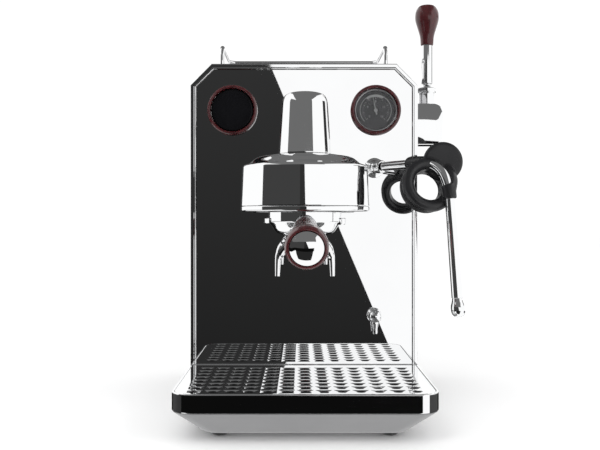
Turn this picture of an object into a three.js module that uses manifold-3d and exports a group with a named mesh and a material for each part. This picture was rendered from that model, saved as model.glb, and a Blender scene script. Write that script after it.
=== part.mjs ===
// An espresso machine with a lever steam valve, built as an assembly of separate pieces.
// Millimetres, +Z up, front towards -Y. X = 0 is the casing's middle plane, Y = 0 the front
// panel's face and Z = 0 the base's underside, until the last lines move the whole machine
// so that its origin is the middle of its bounding box, at the level it stands on.

import * as THREE from 'three';
import { mergeVertices } from 'three/addons/utils/BufferGeometryUtils.js';
import Module from 'manifold-3d';

const wasm = await Module();
wasm.setup();

// ---- Driving dimensions -------------------------------------------------------------------
const GAP = 0.3; // between pieces that touch
const SIDES = 24; // around large round pieces
const SMALL_SIDES = 12; // around small round pieces

const CASE_WIDTH = 259;
const CASE_HEIGHT = 387; // top of the casing above the base's underside
const CASE_DEPTH = 215;
const CASE_CHAMFER = 24;
const CASE_WALL = 2;
const BEZEL_WIDTH = 6.3;
const BEZEL_DEPTH = 6;
const BEZEL_PROUD = 1.5;
const PANEL_THICKNESS = 3;
const REAR_THICKNESS = 2.5;

const BASE_HEIGHT = 25.8;
const BASE_TAPER = 29;
const BASE_WALL = 3;
const FOOT_HEIGHT = 4;
const FOOT_RADIUS = 9;
const FOOT_INSET = 16; // from the base's underside edge to the foot's middle

const TRAY_REACH = 161; // in front of the panel
const TRAY_HEIGHT = 18.4;
const TRAY_CORNER = 22;
const TRAY_WALL = 2.5;
const GRATE_THICKNESS = 1.5;
const GRATE_LEDGE = 3; // width of the ledge that the grate rests on
const HOLE_DIAMETER = 8.5;
const HOLE_PITCH_X = 17.9;
const HOLE_PITCH_Y = 17.24;
const HOLE_RIM = 10.8; // from the grate's front edge to the first row's middle
const HOLE_SIDES = 8;

const DIAL_X = 81.5;
const DIAL_DROP = 53; // from the casing's top to the dials' middle
const RING_RADIUS = 28.5;
const RING_BORE = 24.6;
const RING_PROUD = 7;
const GLASS_RADIUS = 24.2;
const DIAL_RADIUS = 22.5;
const GAUGE_DEPTH = 34;

const GROUP_REACH = 100; // group axis in front of the panel
const BELL_BOTTOM = 223.8;
const BELL_RADIUS = 65.6;
const BELL_TOP = 276.5;
const BELL_WALL = 3;
const DOME_RADIUS = 27;
const DOME_TOP_RADIUS = 22.7;
const DOME_HEIGHT = 63;
const TRIM_HEIGHT = 5.2;
const NECK_WIDTH = 44;
const NECK_HEIGHT = 34;

const BASKET_RADIUS = 29.5;
const BASKET_DEPTH = 24;
const FILTER_WALL = 1;
const COLLAR_RADIUS = 37.5;
const COLLAR_HEIGHT = 10;
const BOWL_WALL = 4;
const EAR_RADIUS = 42;
const LUG_RADIUS = 41;
const LUG_HEIGHT = 5;
const LUG_HALF_ANGLE = 20; // degrees
const LOCK_ANGLE = 45; // degrees turned to unlock
const HANDLE_SLOPE = 7; // degrees below level
const HANDLE_LENGTH = 148;
const FERRULE_LENGTH = 20;
const HANDLE_NECK_RADIUS = 11;
const HANDLE_END_RADIUS = 18.4;
const CAP_RADIUS = 14.2;
const SPOUT_SPREAD = 28.7;
const SPOUT_BOTTOM = 152.8;
const SPOUT_RADIUS = 3.8;

const WAND_X = 80;
const WAND_Z = 268.4;
const WAND_FLANGE_RADIUS = 11.5;
const WAND_BALL_RADIUS = 7;
const WAND_RADIUS = 5.2;
const WAND_STEPS = 26; // along the wand's tube
const WAND_SIDES = 10; // around it
const WAND_TIP_RADIUS = 7.4;
const WAND_TIP_LENGTH = 21;
const WAND_TIP_BOTTOM = 110.6;
const GRIP_WALL = 3.6; // rubber round the wand's tube
const GRIP_RING_RADIUS = 29;
const GRIP_REAR_RADIUS = 25;
const GRIP_BORE = 14;
const GRIP_LENGTH = 36;
const GRIP_GROOVE = 5;
const PADDLE_RADIUS = 21;
const PADDLE_THICKNESS = 7;

const WATER_X = 79.5;
const WATER_Z = 101;
const WATER_BALL_RADIUS = 7.6;
const WATER_SPOUT_DROP = 20;

const VALVE_FRONT = 20;
const VALVE_LENGTH = 90;
const VALVE_BOTTOM = 297;
const VALVE_HEIGHT = 48;
const VALVE_REACH = 37;
const VALVE_WALL = 3;
const VALVE_CORNER = 12;
const LEVER_OUT = 20.5; // lever axis from the casing's side
const HUB_RADIUS = 9.5;
const HUB_HEIGHT = 24;
const HUB_COLLAR_RADIUS = 11.5;
const HUB_COLLAR_HEIGHT = 5.4;
const LEVER_BALL_RADIUS = 7.5;
const LEVER_NECK_RADIUS = 4.5;
const LEVER_ROD_RADIUS = 7;
const LEVER_ROD_LENGTH = 51;
const KNOB_LENGTH = 49;
const KNOB_BASE_RADIUS = 7.9;
const KNOB_RADIUS = 14.3;

const PLATE_THICKNESS = 1.6;
const PLATE_FRONT = 12;
const PLATE_MARGIN = 3; // from the plate's edge to the rail's tube
const RAIL_RADIUS = 2.6;
const RAIL_X = 94.5;
const RAIL_HEIGHT = 25.6;
const RAIL_BEND = 12;
const RAIL_FRONT = 25;
const RAIL_BACK = 124;

const TANK_WIDTH = 176;
const TANK_FRONT = 133;
const TANK_LENGTH = 72;
const TANK_HEIGHT = 240;
const TANK_WALL = 2.5;
const LID_THICKNESS = 3.2;
const LID_LAP = 4; // lid's overlap on the tank's rim and the casing
const INLET_WIDTH = 48;
const INLET_HEIGHT = 28;
const INLET_RISE = 24; // inlet's bottom above the casing's bottom
const NEEDLE_ANGLE = -12; // degrees from upright at rest, negative to the left
const VENT_COUNT = 9;
const VENT_LENGTH = 60;
const VENT_WIDTH = 5;
const VENT_PITCH = 13;

// ---- Finishes -----------------------------------------------------------------------------
const FINISHES = {
  chrome: [0xd8dadd, 0.06, 1],
  panel: [0xc8cacd, 0.04, 1],
  steel: [0xb4b6b8, 0.3, 1],
  grey: [0x97989a, 0.45, 0.2],
  wood: [0x4a1218, 0.22, 0],
  glass: [0x060607, 0.05, 0],
  dial: [0x4c4d4f, 0.5, 0],
  needle: [0xd6d6d2, 0.4, 0],
  rubber: [0x151516, 0.55, 0],
  plastic: [0x232426, 0.5, 0],
  clear: [0x9fb0b8, 0.1, 0],
  aluminium: [0xa6a8aa, 0.4, 1],
  board: [0x1f5a34, 0.6, 0],
};

const machine = new THREE.Group();

/** Adds one named piece to a group, moved to x, y, z. */
function piece(name, finish, geometry, x = 0, y = 0, z = 0, group = machine) {
  const [color, roughness, metalness] = FINISHES[finish];
  const material = new THREE.MeshStandardMaterial({ color, roughness, metalness });
  const mesh = new THREE.Mesh(outward(geometry), material);
  mesh.name = name;
  mesh.position.set(x, y, z);
  group.add(mesh);
  return mesh;
}

// ---- Geometry helpers ---------------------------------------------------------------------
/** Position-only copy of a geometry whose shared vertices are merged. */
function welded(geometry) {
  const bare = geometry.clone();
  bare.deleteAttribute('normal');
  bare.deleteAttribute('uv');
  return mergeVertices(bare, 1e-4);
}

/** Six times the signed volume, positive when the faces point out. */
function signedVolume(geometry) {
  const at = geometry.attributes.position;
  const index = geometry.index.array;
  const corners = [new THREE.Vector3(), new THREE.Vector3(), new THREE.Vector3()];
  let sum = 0;
  for (let i = 0; i < index.length; i += 3) {
    corners.forEach((corner, k) => corner.fromBufferAttribute(at, index[i + k]));
    sum += corners[0].dot(corners[1].clone().cross(corners[2]));
  }
  return sum;
}

/** The closed geometry with merged vertices and its faces pointing out. */
function outward(geometry) {
  const closed = welded(geometry);
  if (signedVolume(closed) < 0) {
    const index = closed.index.array;
    for (let i = 0; i < index.length; i += 3) {
      [index[i], index[i + 1]] = [index[i + 1], index[i]];
    }
  }
  return closed;
}

/** A solid for joining and cutting. */
function solid(geometry) {
  const closed = outward(geometry);
  return new wasm.Manifold(new wasm.Mesh({
    numProp: 3,
    vertProperties: Float32Array.from(closed.attributes.position.array),
    triVerts: Uint32Array.from(closed.index.array),
  }));
}

/** The geometry of a solid. */
function fromSolid(body) {
  const mesh = body.getMesh();
  const geometry = new THREE.BufferGeometry();
  geometry.setAttribute('position', new THREE.BufferAttribute(mesh.vertProperties, 3));
  geometry.setIndex(new THREE.BufferAttribute(mesh.triVerts, 1));
  return geometry;
}

/** The first geometry less all the others. */
function cut(geometry, ...tools) {
  return fromSolid(tools.reduce((body, tool) => body.subtract(solid(tool)), solid(geometry)));
}

/** All the geometries joined. */
function join(first, ...others) {
  return fromSolid(others.reduce((body, other) => body.add(solid(other)), solid(first)));
}

/** A shape turned about the Z axis from [radius, height] points. */
function turned(profile, sides = SIDES) {
  const points = profile.map(([r, z]) => new THREE.Vector2(r, z));
  return new THREE.LatheGeometry(points, sides).rotateX(Math.PI / 2);
}

/** A turned shape whose axis is Y; heights run towards the front. */
function turnedForward(profile, sides = SIDES) {
  return turned(profile, sides).rotateX(Math.PI / 2);
}

/** A straight round bar standing on z = 0. */
function bar(radius, height, sides = SMALL_SIDES) {
  return turned([[0, 0], [radius, 0], [radius, height], [0, height]], sides);
}

/** A plain block from its low corner and its size. */
function block(x, y, z, width, depth, height) {
  return new THREE.BoxGeometry(width, depth, height)
    .translate(x + width / 2, y + depth / 2, z + height / 2);
}

/** A rectangle with its middle at the origin and rounded corners. */
function roundedRectangle(width, height, radius, segments = 3) {
  const shape = new THREE.Shape();
  const x = width / 2 - radius;
  const y = height / 2 - radius;
  shape.absarc(x, y, radius, 0, Math.PI / 2);
  shape.absarc(-x, y, radius, Math.PI / 2, Math.PI);
  shape.absarc(-x, -y, radius, Math.PI, 1.5 * Math.PI);
  shape.absarc(x, -y, radius, 1.5 * Math.PI, 2 * Math.PI);
  return new THREE.Shape(shape.getPoints(segments));
}

/** A shape drawn from above and raised by height. */
function raised(shape, height, curveSegments = SMALL_SIDES) {
  return new THREE.ExtrudeGeometry(shape, {
    depth: height, bevelEnabled: false, curveSegments, steps: 1,
  });
}

/** A shape drawn from the front, filling front <= Y <= back. */
function slab(shape, front, back, curveSegments = SMALL_SIDES) {
  return raised(shape, back - front, curveSegments).rotateX(Math.PI / 2).translate(0, back, 0);
}

/** A round tube along a smooth curve. */
function tube(curve, radius, steps, sides = 12) {
  const section = new THREE.Shape();
  section.absarc(0, 0, radius, 0, 2 * Math.PI);
  return new THREE.ExtrudeGeometry(section, {
    steps, bevelEnabled: false, extrudePath: curve, curveSegments: sides / 2,
  });
}

/** A smooth curve through [x, y, z] points. */
function route(points) {
  return new THREE.CatmullRomCurve3(points.map((p) => new THREE.Vector3(...p)), false, 'centripetal');
}

/** A sector of a flat ring, angles in degrees. */
function sector(inner, outer, from, to) {
  const a = THREE.MathUtils.degToRad(from);
  const b = THREE.MathUtils.degToRad(to);
  const shape = new THREE.Shape();
  shape.absarc(0, 0, outer, a, b, false);
  shape.absarc(0, 0, inner, b, a, true);
  return shape;
}

// ---- Casing -------------------------------------------------------------------------------
const caseBottom = BASE_HEIGHT + GAP;
const halfCase = CASE_WIDTH / 2;
const dialZ = CASE_HEIGHT - DIAL_DROP;
const inletBottom = caseBottom + INLET_RISE;
const neckBottom = BELL_BOTTOM + 8;

/** The casing's outline from the front, moved in by inset on every side. */
function caseOutline(inset) {
  const x = halfCase - inset;
  const top = CASE_HEIGHT - inset;
  const chamfer = CASE_CHAMFER - inset * (2 - Math.SQRT2);
  const outline = [
    [-x, caseBottom + inset], [x, caseBottom + inset], [x, top - chamfer],
    [x - chamfer, top], [-x + chamfer, top], [-x, top - chamfer],
  ];
  return new THREE.Shape(outline.map(([a, b]) => new THREE.Vector2(a, b)));
}

/** A frame between two insets of the casing's outline. */
function caseRing(outer, inner, front, back) {
  const shape = caseOutline(outer);
  shape.holes.push(caseOutline(inner));
  return slab(shape, front, back);
}

const tankBack = TANK_FRONT + TANK_LENGTH;

/** A block through the casing's top where the water tank goes in. */
function tankWell() {
  const clear = 1.5;
  return block(-TANK_WIDTH / 2 - clear, TANK_FRONT - clear, CASE_HEIGHT - 2 * CASE_WALL,
    TANK_WIDTH + 2 * clear, TANK_LENGTH + 2 * clear, 4 * CASE_WALL);
}

function makeCasing() {
  const shellBack = CASE_DEPTH - REAR_THICKNESS - GAP;
  const valveHole = bar(14, 4 * CASE_WALL).rotateY(Math.PI / 2)
    .translate(halfCase - 3 * CASE_WALL, VALVE_FRONT + VALVE_LENGTH / 2, VALVE_BOTTOM + VALVE_HEIGHT / 2);
  const shell = cut(caseRing(0, CASE_WALL, BEZEL_DEPTH + GAP, shellBack), tankWell(), valveHole);
  piece('casing_shell', 'steel', shell);
  piece('front_bezel', 'chrome', caseRing(0, BEZEL_WIDTH, -BEZEL_PROUD, BEZEL_DEPTH));

  const through = (radius, x, z) => turnedForward([[0, -PANEL_THICKNESS - 1], [radius, -PANEL_THICKNESS - 1],
    [radius, 1], [0, 1]]).translate(x, 0, z);
  const panel = cut(slab(caseOutline(BEZEL_WIDTH + GAP), 0, PANEL_THICKNESS),
    through(GLASS_RADIUS + GAP, -DIAL_X, dialZ), through(GLASS_RADIUS + GAP, DIAL_X, dialZ),
    through(4.5, WAND_X, WAND_Z), through(4.5, WATER_X, WATER_Z),
    block(-NECK_WIDTH / 2 + 6, -1, neckBottom + 6, NECK_WIDTH - 12, PANEL_THICKNESS + 2,
      NECK_HEIGHT - 12));
  piece('front_panel', 'panel', panel);

  const vents = [];
  for (let i = 0; i < VENT_COUNT; i += 1) {
    const x = (i - (VENT_COUNT - 1) / 2) * VENT_PITCH;
    vents.push(block(x - VENT_WIDTH / 2, shellBack - 5, caseBottom + 110, VENT_WIDTH,
      REAR_THICKNESS + 10, VENT_LENGTH));
  }
  const inletHole = block(-INLET_WIDTH / 2 - GAP, shellBack - 5, inletBottom - GAP,
    INLET_WIDTH + 2 * GAP, REAR_THICKNESS + 10, INLET_HEIGHT + 2 * GAP);
  const rear = cut(slab(caseOutline(0), CASE_DEPTH - REAR_THICKNESS, CASE_DEPTH), inletHole, ...vents);
  piece('rear_cover', 'steel', rear);
}

// ---- Base, feet and drip tray -------------------------------------------------------------
/** A block with a rounded outline that narrows by taper on every side towards its bottom. */
function tapered(width, depth, height, corner, taper) {
  const geometry = raised(roundedRectangle(width, depth, corner), height);
  const at = geometry.attributes.position;
  for (let i = 0; i < at.count; i += 1) {
    const share = 1 - at.getZ(i) / height;
    const sx = 1 - (2 * taper * share) / width;
    const sy = 1 - (2 * taper * share) / depth;
    at.setXY(i, at.getX(i) * sx, at.getY(i) * sy);
  }
  return geometry;
}

const baseDepth = CASE_DEPTH + TRAY_REACH;
const baseMiddleY = (CASE_DEPTH - TRAY_REACH) / 2;

function makeBase() {
  const outer = tapered(CASE_WIDTH, baseDepth, BASE_HEIGHT, TRAY_CORNER, BASE_TAPER);
  const inner = tapered(CASE_WIDTH - 2 * BASE_WALL, baseDepth - 2 * BASE_WALL, BASE_HEIGHT,
    TRAY_CORNER - BASE_WALL, BASE_TAPER).translate(0, 0, BASE_WALL);
  piece('base_housing', 'grey', cut(outer, inner), 0, baseMiddleY, 0);

  const footX = halfCase - BASE_TAPER - FOOT_INSET;
  const footY = baseDepth / 2 - BASE_TAPER - FOOT_INSET;
  for (const [side, x] of [['left', -footX], ['right', footX]]) {
    for (const [end, y] of [['front', -footY], ['rear', footY]]) {
      const foot = turned([[0, 0], [FOOT_RADIUS - 1.5, 0], [FOOT_RADIUS, FOOT_HEIGHT - GAP],
        [0, FOOT_HEIGHT - GAP]], SMALL_SIDES);
      piece(`foot_${end}_${side}`, 'rubber', foot, x, baseMiddleY + y, -FOOT_HEIGHT);
    }
  }
}

const trayLength = TRAY_REACH - BEZEL_PROUD - 2 * GAP;
const trayMiddleY = -TRAY_REACH + trayLength / 2;
const grateWidth = CASE_WIDTH - 2 * TRAY_WALL - 2 * GAP;
const grateLength = trayLength - 2 * TRAY_WALL - 2 * GAP;

/** The tray's plan: round corners in front, square ones at the panel. */
function trayPlan(inset) {
  const x = CASE_WIDTH / 2 - inset;
  const y = trayLength / 2 - inset;
  const corner = TRAY_CORNER - inset;
  const shape = new THREE.Shape();
  shape.moveTo(x, y);
  shape.lineTo(-x, y);
  shape.lineTo(-x, -y + corner);
  shape.absarc(-x + corner, -y + corner, corner, Math.PI, 1.5 * Math.PI);
  shape.absarc(x - corner, -y + corner, corner, 1.5 * Math.PI, 2 * Math.PI);
  return new THREE.Shape(shape.getPoints(4));
}

const panLip = TRAY_HEIGHT - GRATE_THICKNESS - GAP;
const holeColumns = 2 * Math.floor((grateWidth / 2 - HOLE_RIM) / HOLE_PITCH_X) + 1;
const holeRows = Math.floor((grateLength - 2 * HOLE_RIM) / HOLE_PITCH_Y) + 1;

function makeTray() {
  const rebate = raised(trayPlan(TRAY_WALL), TRAY_HEIGHT).translate(0, 0, panLip);
  const basin = raised(trayPlan(TRAY_WALL + GRATE_LEDGE), TRAY_HEIGHT).translate(0, 0, TRAY_WALL);
  const pan = cut(raised(trayPlan(0), TRAY_HEIGHT), rebate, basin);
  piece('drip_pan', 'chrome', pan, 0, trayMiddleY, caseBottom);

  const plate = trayPlan(TRAY_WALL + GAP);
  const firstY = -grateLength / 2 + HOLE_RIM;
  for (let row = 0; row < holeRows; row += 1) {
    for (let column = 0; column < holeColumns; column += 1) {
      const x = (column - (holeColumns - 1) / 2) * HOLE_PITCH_X;
      const hole = new THREE.Path();
      hole.absarc(x, firstY + row * HOLE_PITCH_Y, HOLE_DIAMETER / 2, 0, 2 * Math.PI, true);
      plate.holes.push(new THREE.Path(hole.getPoints(HOLE_SIDES / 2).slice(0, -1)));
    }
  }
  piece('drip_grate', 'chrome', raised(plate, GRATE_THICKNESS), 0, trayMiddleY,
    caseBottom + panLip + GAP);
}

// ---- Dials --------------------------------------------------------------------------------
function dialRing() {
  return turnedForward([[RING_BORE, 0], [RING_RADIUS, 0], [RING_RADIUS, RING_PROUD - 2.5],
    [RING_RADIUS - 2.5, RING_PROUD], [RING_BORE + 1, RING_PROUD], [RING_BORE, RING_PROUD - 1],
    [RING_BORE, 0]]);
}

function makeDials() {
  const glassFront = RING_PROUD - 3;
  piece('control_ring', 'wood', dialRing(), -DIAL_X, -GAP, dialZ);
  const display = [[0, -18], [GLASS_RADIUS - GAP, -18], [GLASS_RADIUS - GAP, glassFront], [0, glassFront]];
  piece('control_display', 'glass', turnedForward(display), -DIAL_X, 0, dialZ);

  piece('gauge_ring', 'wood', dialRing(), DIAL_X, -GAP, dialZ);
  const canRadius = GLASS_RADIUS - GAP;
  const seat = -1; // the dial's seat, behind the panel's face
  const can = [[0, -GAUGE_DEPTH], [canRadius, -GAUGE_DEPTH], [canRadius, glassFront],
    [DIAL_RADIUS + GAP, glassFront], [DIAL_RADIUS + GAP, seat], [0, seat]];
  piece('gauge_body', 'steel', turnedForward(can), DIAL_X, 0, dialZ);
  const dialFront = seat + GAP + 1;
  piece('gauge_dial', 'dial', turnedForward([[0, seat + GAP], [DIAL_RADIUS, seat + GAP],
    [DIAL_RADIUS, dialFront], [0, dialFront]]), DIAL_X, 0, dialZ);
  const hub = turnedForward([[0, 0], [2.2, 0], [2.2, 0.9], [0, 0.9]], SMALL_SIDES);
  const hand = new THREE.Shape();
  hand.moveTo(-0.8, -5);
  hand.lineTo(0.8, -5);
  hand.lineTo(0.35, 15.5);
  hand.lineTo(-0.35, 15.5);
  const needle = join(hub, slab(hand, -0.75, -0.15));
  const needleZero = THREE.MathUtils.degToRad(NEEDLE_ANGLE);
  piece('gauge_needle', 'needle', needle.rotateY(needleZero), DIAL_X, -dialFront - GAP, dialZ);
  const glassBack = dialFront + 2 * GAP + 0.9;
  piece('gauge_glass', 'clear', turnedForward([[0, glassBack], [DIAL_RADIUS, glassBack],
    [DIAL_RADIUS, glassBack + 1.2], [0, glassBack + 1.2]]), DIAL_X, 0, dialZ);
}

// ---- Group head ---------------------------------------------------------------------------
const bellFoot = BELL_BOTTOM - TRIM_HEIGHT - GAP; // the trim ring's lower edge
const collarTop = bellFoot - GAP;
const rimTop = collarTop + 13.5; // portafilter's rim, inside the brew head
const lugBottom = rimTop - LUG_HEIGHT - 2;
const brewInner = LUG_RADIUS + 1;
const brewOuter = BELL_RADIUS - BELL_WALL - 6;
const ledgeTop = lugBottom - GAP;
const gasketBottom = rimTop + FILTER_WALL + 2 * GAP;
const gasketTop = gasketBottom + 8;

function makeGroup() {
  const top = BELL_TOP;
  const bell = [
    [BELL_RADIUS - 0.2, BELL_BOTTOM], [BELL_RADIUS - 2, top - 13.5], [BELL_RADIUS - 3.4, top - 11.8],
    [DOME_RADIUS * 2, top - 9.9], [DOME_RADIUS * 1.78, top - 3.8], [DOME_RADIUS, top], [0, top],
    [0, top - BELL_WALL], [DOME_RADIUS, top - BELL_WALL], [DOME_RADIUS * 1.78 - 1, top - 3.8 - BELL_WALL],
    [DOME_RADIUS * 2 - 1, top - 9.9 - BELL_WALL], [BELL_RADIUS - 3.4 - BELL_WALL, top - 12.5 - BELL_WALL],
    [BELL_RADIUS - BELL_WALL - 0.2, BELL_BOTTOM], [BELL_RADIUS - 0.2, BELL_BOTTOM],
  ];
  const opening = block(-NECK_WIDTH / 2 - GAP, 0, neckBottom - GAP, NECK_WIDTH + 2 * GAP, GROUP_REACH,
    NECK_HEIGHT + 2 * GAP);
  piece('group_bell', 'chrome', cut(turned(bell), opening), 0, -GROUP_REACH, 0);

  const wall = BELL_WALL;
  const dome = [
    [DOME_RADIUS, 0], [DOME_TOP_RADIUS + 0.6, DOME_HEIGHT - 7], [DOME_TOP_RADIUS - 1.2, DOME_HEIGHT - 3],
    [DOME_TOP_RADIUS - 6, DOME_HEIGHT - 1], [0, DOME_HEIGHT], [0, DOME_HEIGHT - wall],
    [DOME_TOP_RADIUS - 6, DOME_HEIGHT - 1 - wall], [DOME_TOP_RADIUS - wall, DOME_HEIGHT - 7 - wall],
    [DOME_RADIUS - wall, 0], [DOME_RADIUS, 0],
  ];
  piece('group_dome', 'chrome', turned(dome), 0, -GROUP_REACH, BELL_TOP + GAP);

  const trimInner = BELL_RADIUS - BELL_WALL;
  piece('group_trim_ring', 'chrome', turned([[trimInner, 0], [BELL_RADIUS, 0],
    [BELL_RADIUS, TRIM_HEIGHT], [trimInner, TRIM_HEIGHT], [trimInner, 0]]), 0, -GROUP_REACH, bellFoot);

  const neckEnd = -GROUP_REACH + brewOuter + GAP;
  const neck = block(-NECK_WIDTH / 2, neckEnd, neckBottom, NECK_WIDTH, -neckEnd - GAP, NECK_HEIGHT);
  const bore = bar(5, -neckEnd + 10).rotateX(-Math.PI / 2)
    .translate(0, neckEnd - 5, neckBottom + NECK_HEIGHT / 2);
  piece('group_neck', 'chrome', cut(neck, bore));

  const headTop = BELL_TOP - 13.5 - BELL_WALL - 2;
  const head = [[brewInner, ledgeTop - 3], [brewOuter, ledgeTop - 3], [brewOuter, headTop], [0, headTop],
    [0, gasketTop + GAP], [brewInner, gasketTop + GAP], [brewInner, ledgeTop - 3]];
  const ledges = [0, 180].map((turn) => raised(
    sector(COLLAR_RADIUS - 0.2, brewInner + 1, turn - LUG_HALF_ANGLE - 1,
      turn + 180 - LOCK_ANGLE - LUG_HALF_ANGLE - 2), 3, 12).translate(0, 0, ledgeTop - 3));
  piece('brew_head', 'steel', join(turned(head), ...ledges), 0, -GROUP_REACH, 0);

  const gasketInner = BASKET_RADIUS - 1;
  piece('group_gasket', 'rubber', turned([[gasketInner, gasketBottom], [brewInner - GAP, gasketBottom],
    [brewInner - GAP, gasketTop], [gasketInner, gasketTop], [gasketInner, gasketBottom]]),
  0, -GROUP_REACH, 0);
  const screenTop = gasketTop - 1;
  const screenRadius = gasketInner - GAP;
  const screen = [[3, screenTop - 2.5], [screenRadius, screenTop - 2.5], [screenRadius, screenTop],
    [3, screenTop], [3, screenTop - 2.5]];
  piece('shower_screen', 'steel', turned(screen), 0, -GROUP_REACH, 0);
  const screw = [[0, screenTop - 5], [5, screenTop - 5], [5.5, screenTop - 2.5 - GAP],
    [3 - GAP, screenTop - 2.5 - GAP], [3 - GAP, gasketTop], [0, gasketTop]];
  piece('shower_screw', 'steel', turned(screw, SMALL_SIDES), 0, -GROUP_REACH, 0);
}

// ---- Portafilter --------------------------------------------------------------------------
const bowlInner = BASKET_RADIUS + GAP;
const bowlFloor = rimTop - BASKET_DEPTH - 4;
const bowlBottom = bowlFloor - BOWL_WALL;
const handleSlope = THREE.MathUtils.degToRad(HANDLE_SLOPE);
const handleStartY = -GROUP_REACH - COLLAR_RADIUS - GAP;
const handleStartZ = collarTop - COLLAR_HEIGHT - 3.5;

/** Lays a shape whose axis runs towards the front onto the handle's sloping axis. */
function alongHandle(geometry) {
  return geometry.rotateX(handleSlope).translate(0, handleStartY, handleStartZ);
}

function makePortafilter() {
  const collarBottom = collarTop - COLLAR_HEIGHT;
  const rimOuter = COLLAR_RADIUS - 1;
  const bowl = [[0, bowlBottom], [bowlInner - 8, bowlBottom], [bowlInner, bowlBottom + 3.5],
    [bowlInner + BOWL_WALL - 1, bowlBottom + 9], [COLLAR_RADIUS, collarBottom], [COLLAR_RADIUS, collarTop],
    [rimOuter, collarTop], [rimOuter, rimTop], [bowlInner, rimTop], [bowlInner, bowlFloor + 3],
    [bowlInner - 4, bowlFloor], [0, bowlFloor]];
  const ear = () => raised(sector(COLLAR_RADIUS - 2, EAR_RADIUS, -24, 24), 8, 6)
    .translate(0, 0, collarBottom - 4);
  const lug = () => raised(sector(rimOuter - 2, LUG_RADIUS, -LUG_HALF_ANGLE, LUG_HALF_ANGLE),
    LUG_HEIGHT, 6).translate(0, 0, lugBottom);
  const boss = turnedForward([[0, -8], [HANDLE_NECK_RADIUS - 1, -8], [HANDLE_NECK_RADIUS - 1, 6], [0, 6]])
    .rotateX(handleSlope).translate(0, -COLLAR_RADIUS, handleStartZ + 0.4);
  const web = block(-7, -COLLAR_RADIUS, handleStartZ - 6, 14, 14, 10);
  const inside = turned([[0, bowlFloor], [bowlInner - 4, bowlFloor], [bowlInner, bowlFloor + 3],
    [bowlInner, rimTop + 1], [0, rimTop + 1]]);
  const drain = bar(4, 3 * BOWL_WALL).translate(0, 0, bowlBottom - BOWL_WALL);
  const body = join(turned(bowl), ear(), ear().rotateZ(Math.PI), lug(), lug().rotateZ(Math.PI), boss, web);
  piece('portafilter_body', 'chrome', cut(body, inside, drain), 0, -GROUP_REACH, 0);

  const w = FILTER_WALL;
  const r = BASKET_RADIUS - GAP;
  const low = rimTop - BASKET_DEPTH;
  const basket = [[0, low], [r - 1, low], [r, low + 3], [r, rimTop + GAP], [r + 4, rimTop + GAP],
    [r + 4, rimTop + GAP + w], [r - w, rimTop + GAP + w], [r - w, low + 3 + w / 2], [r - 1 - w, low + w],
    [0, low + w]];
  piece('filter_basket', 'steel', turned(basket), 0, -GROUP_REACH, 0);

  const spoutTop = bowlBottom - GAP;
  const arm = (side) => tube(route([[0, 0, spoutTop - 8], [side * 12, -1, spoutTop - 9],
    [side * (SPOUT_SPREAD - 7), -3, spoutTop - 17], [side * (SPOUT_SPREAD - 2.4), -4.6, spoutTop - 28],
    [side * (SPOUT_SPREAD - 1), -5, SPOUT_BOTTOM]]), SPOUT_RADIUS, 10, 8);
  const stub = turned([[0, spoutTop - 15], [6, spoutTop - 14], [9, spoutTop - 8], [9, spoutTop],
    [0, spoutTop]], 24);
  const channel = bar(3, 12).translate(0, 0, spoutTop - 9);
  piece('double_spout', 'chrome', cut(join(stub, arm(-1), arm(1)), channel), 0, -GROUP_REACH, 0);
}

function makeHandle() {
  const bossEnd = 6.5 + GAP;
  const ferruleEnd = bossEnd + FERRULE_LENGTH - 6;
  const neck = HANDLE_NECK_RADIUS;
  const ferrule = [[0, bossEnd], [neck - 1.2, bossEnd], [neck + 0.6, bossEnd + 2], [neck + 0.6, ferruleEnd - 2],
    [neck, ferruleEnd], [0, ferruleEnd]];
  piece('handle_ferrule', 'chrome', alongHandle(turnedForward(ferrule, 24)));

  const start = ferruleEnd + GAP;
  const end = HANDLE_LENGTH;
  const wide = HANDLE_END_RADIUS;
  const lip = CAP_RADIUS + GAP;
  const grip = [[0, start], [neck - 0.4, start], [neck + 0.6, start + 12], [neck + 2.2, start + 40],
    [wide - 2.4, end - 45], [wide, end - 18], [wide - 0.6, end - 8], [wide - 2, end - 5], [lip, end - 4],
    [lip, end - 12], [0, end - 12]];
  piece('handle_grip', 'wood', alongHandle(turnedForward(grip, 24)));
  const cap = [[0, end - 12 + GAP], [CAP_RADIUS, end - 12 + GAP], [CAP_RADIUS, end - 4],
    [CAP_RADIUS * 0.8, end - 1.8], [CAP_RADIUS * 0.45, end - 0.4], [0, end]];
  piece('handle_cap', 'chrome', alongHandle(turnedForward(cap, 24)));
}

// ---- Steam wand and hot water -------------------------------------------------------------
const wandBallY = -8 - GAP - WAND_BALL_RADIUS;

/** The wand's centre line, from its ball. */
function wandCurve() {
  const z = WAND_Z;
  const tipTop = WAND_TIP_BOTTOM + WAND_TIP_LENGTH;
  return route([[WAND_X + 4, wandBallY - 5, z], [WAND_X + 22, wandBallY - 38, z],
    [WAND_X + 46, wandBallY - 75, z - 1], [WAND_X + 58, wandBallY - 88, z - 9],
    [WAND_X + 64.5, wandBallY - 93, z - 26], [WAND_X + 67, wandBallY - 95, z - 52],
    [WAND_X + 72.3, wandBallY - 100, tipTop + 0.3]]);
}

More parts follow.
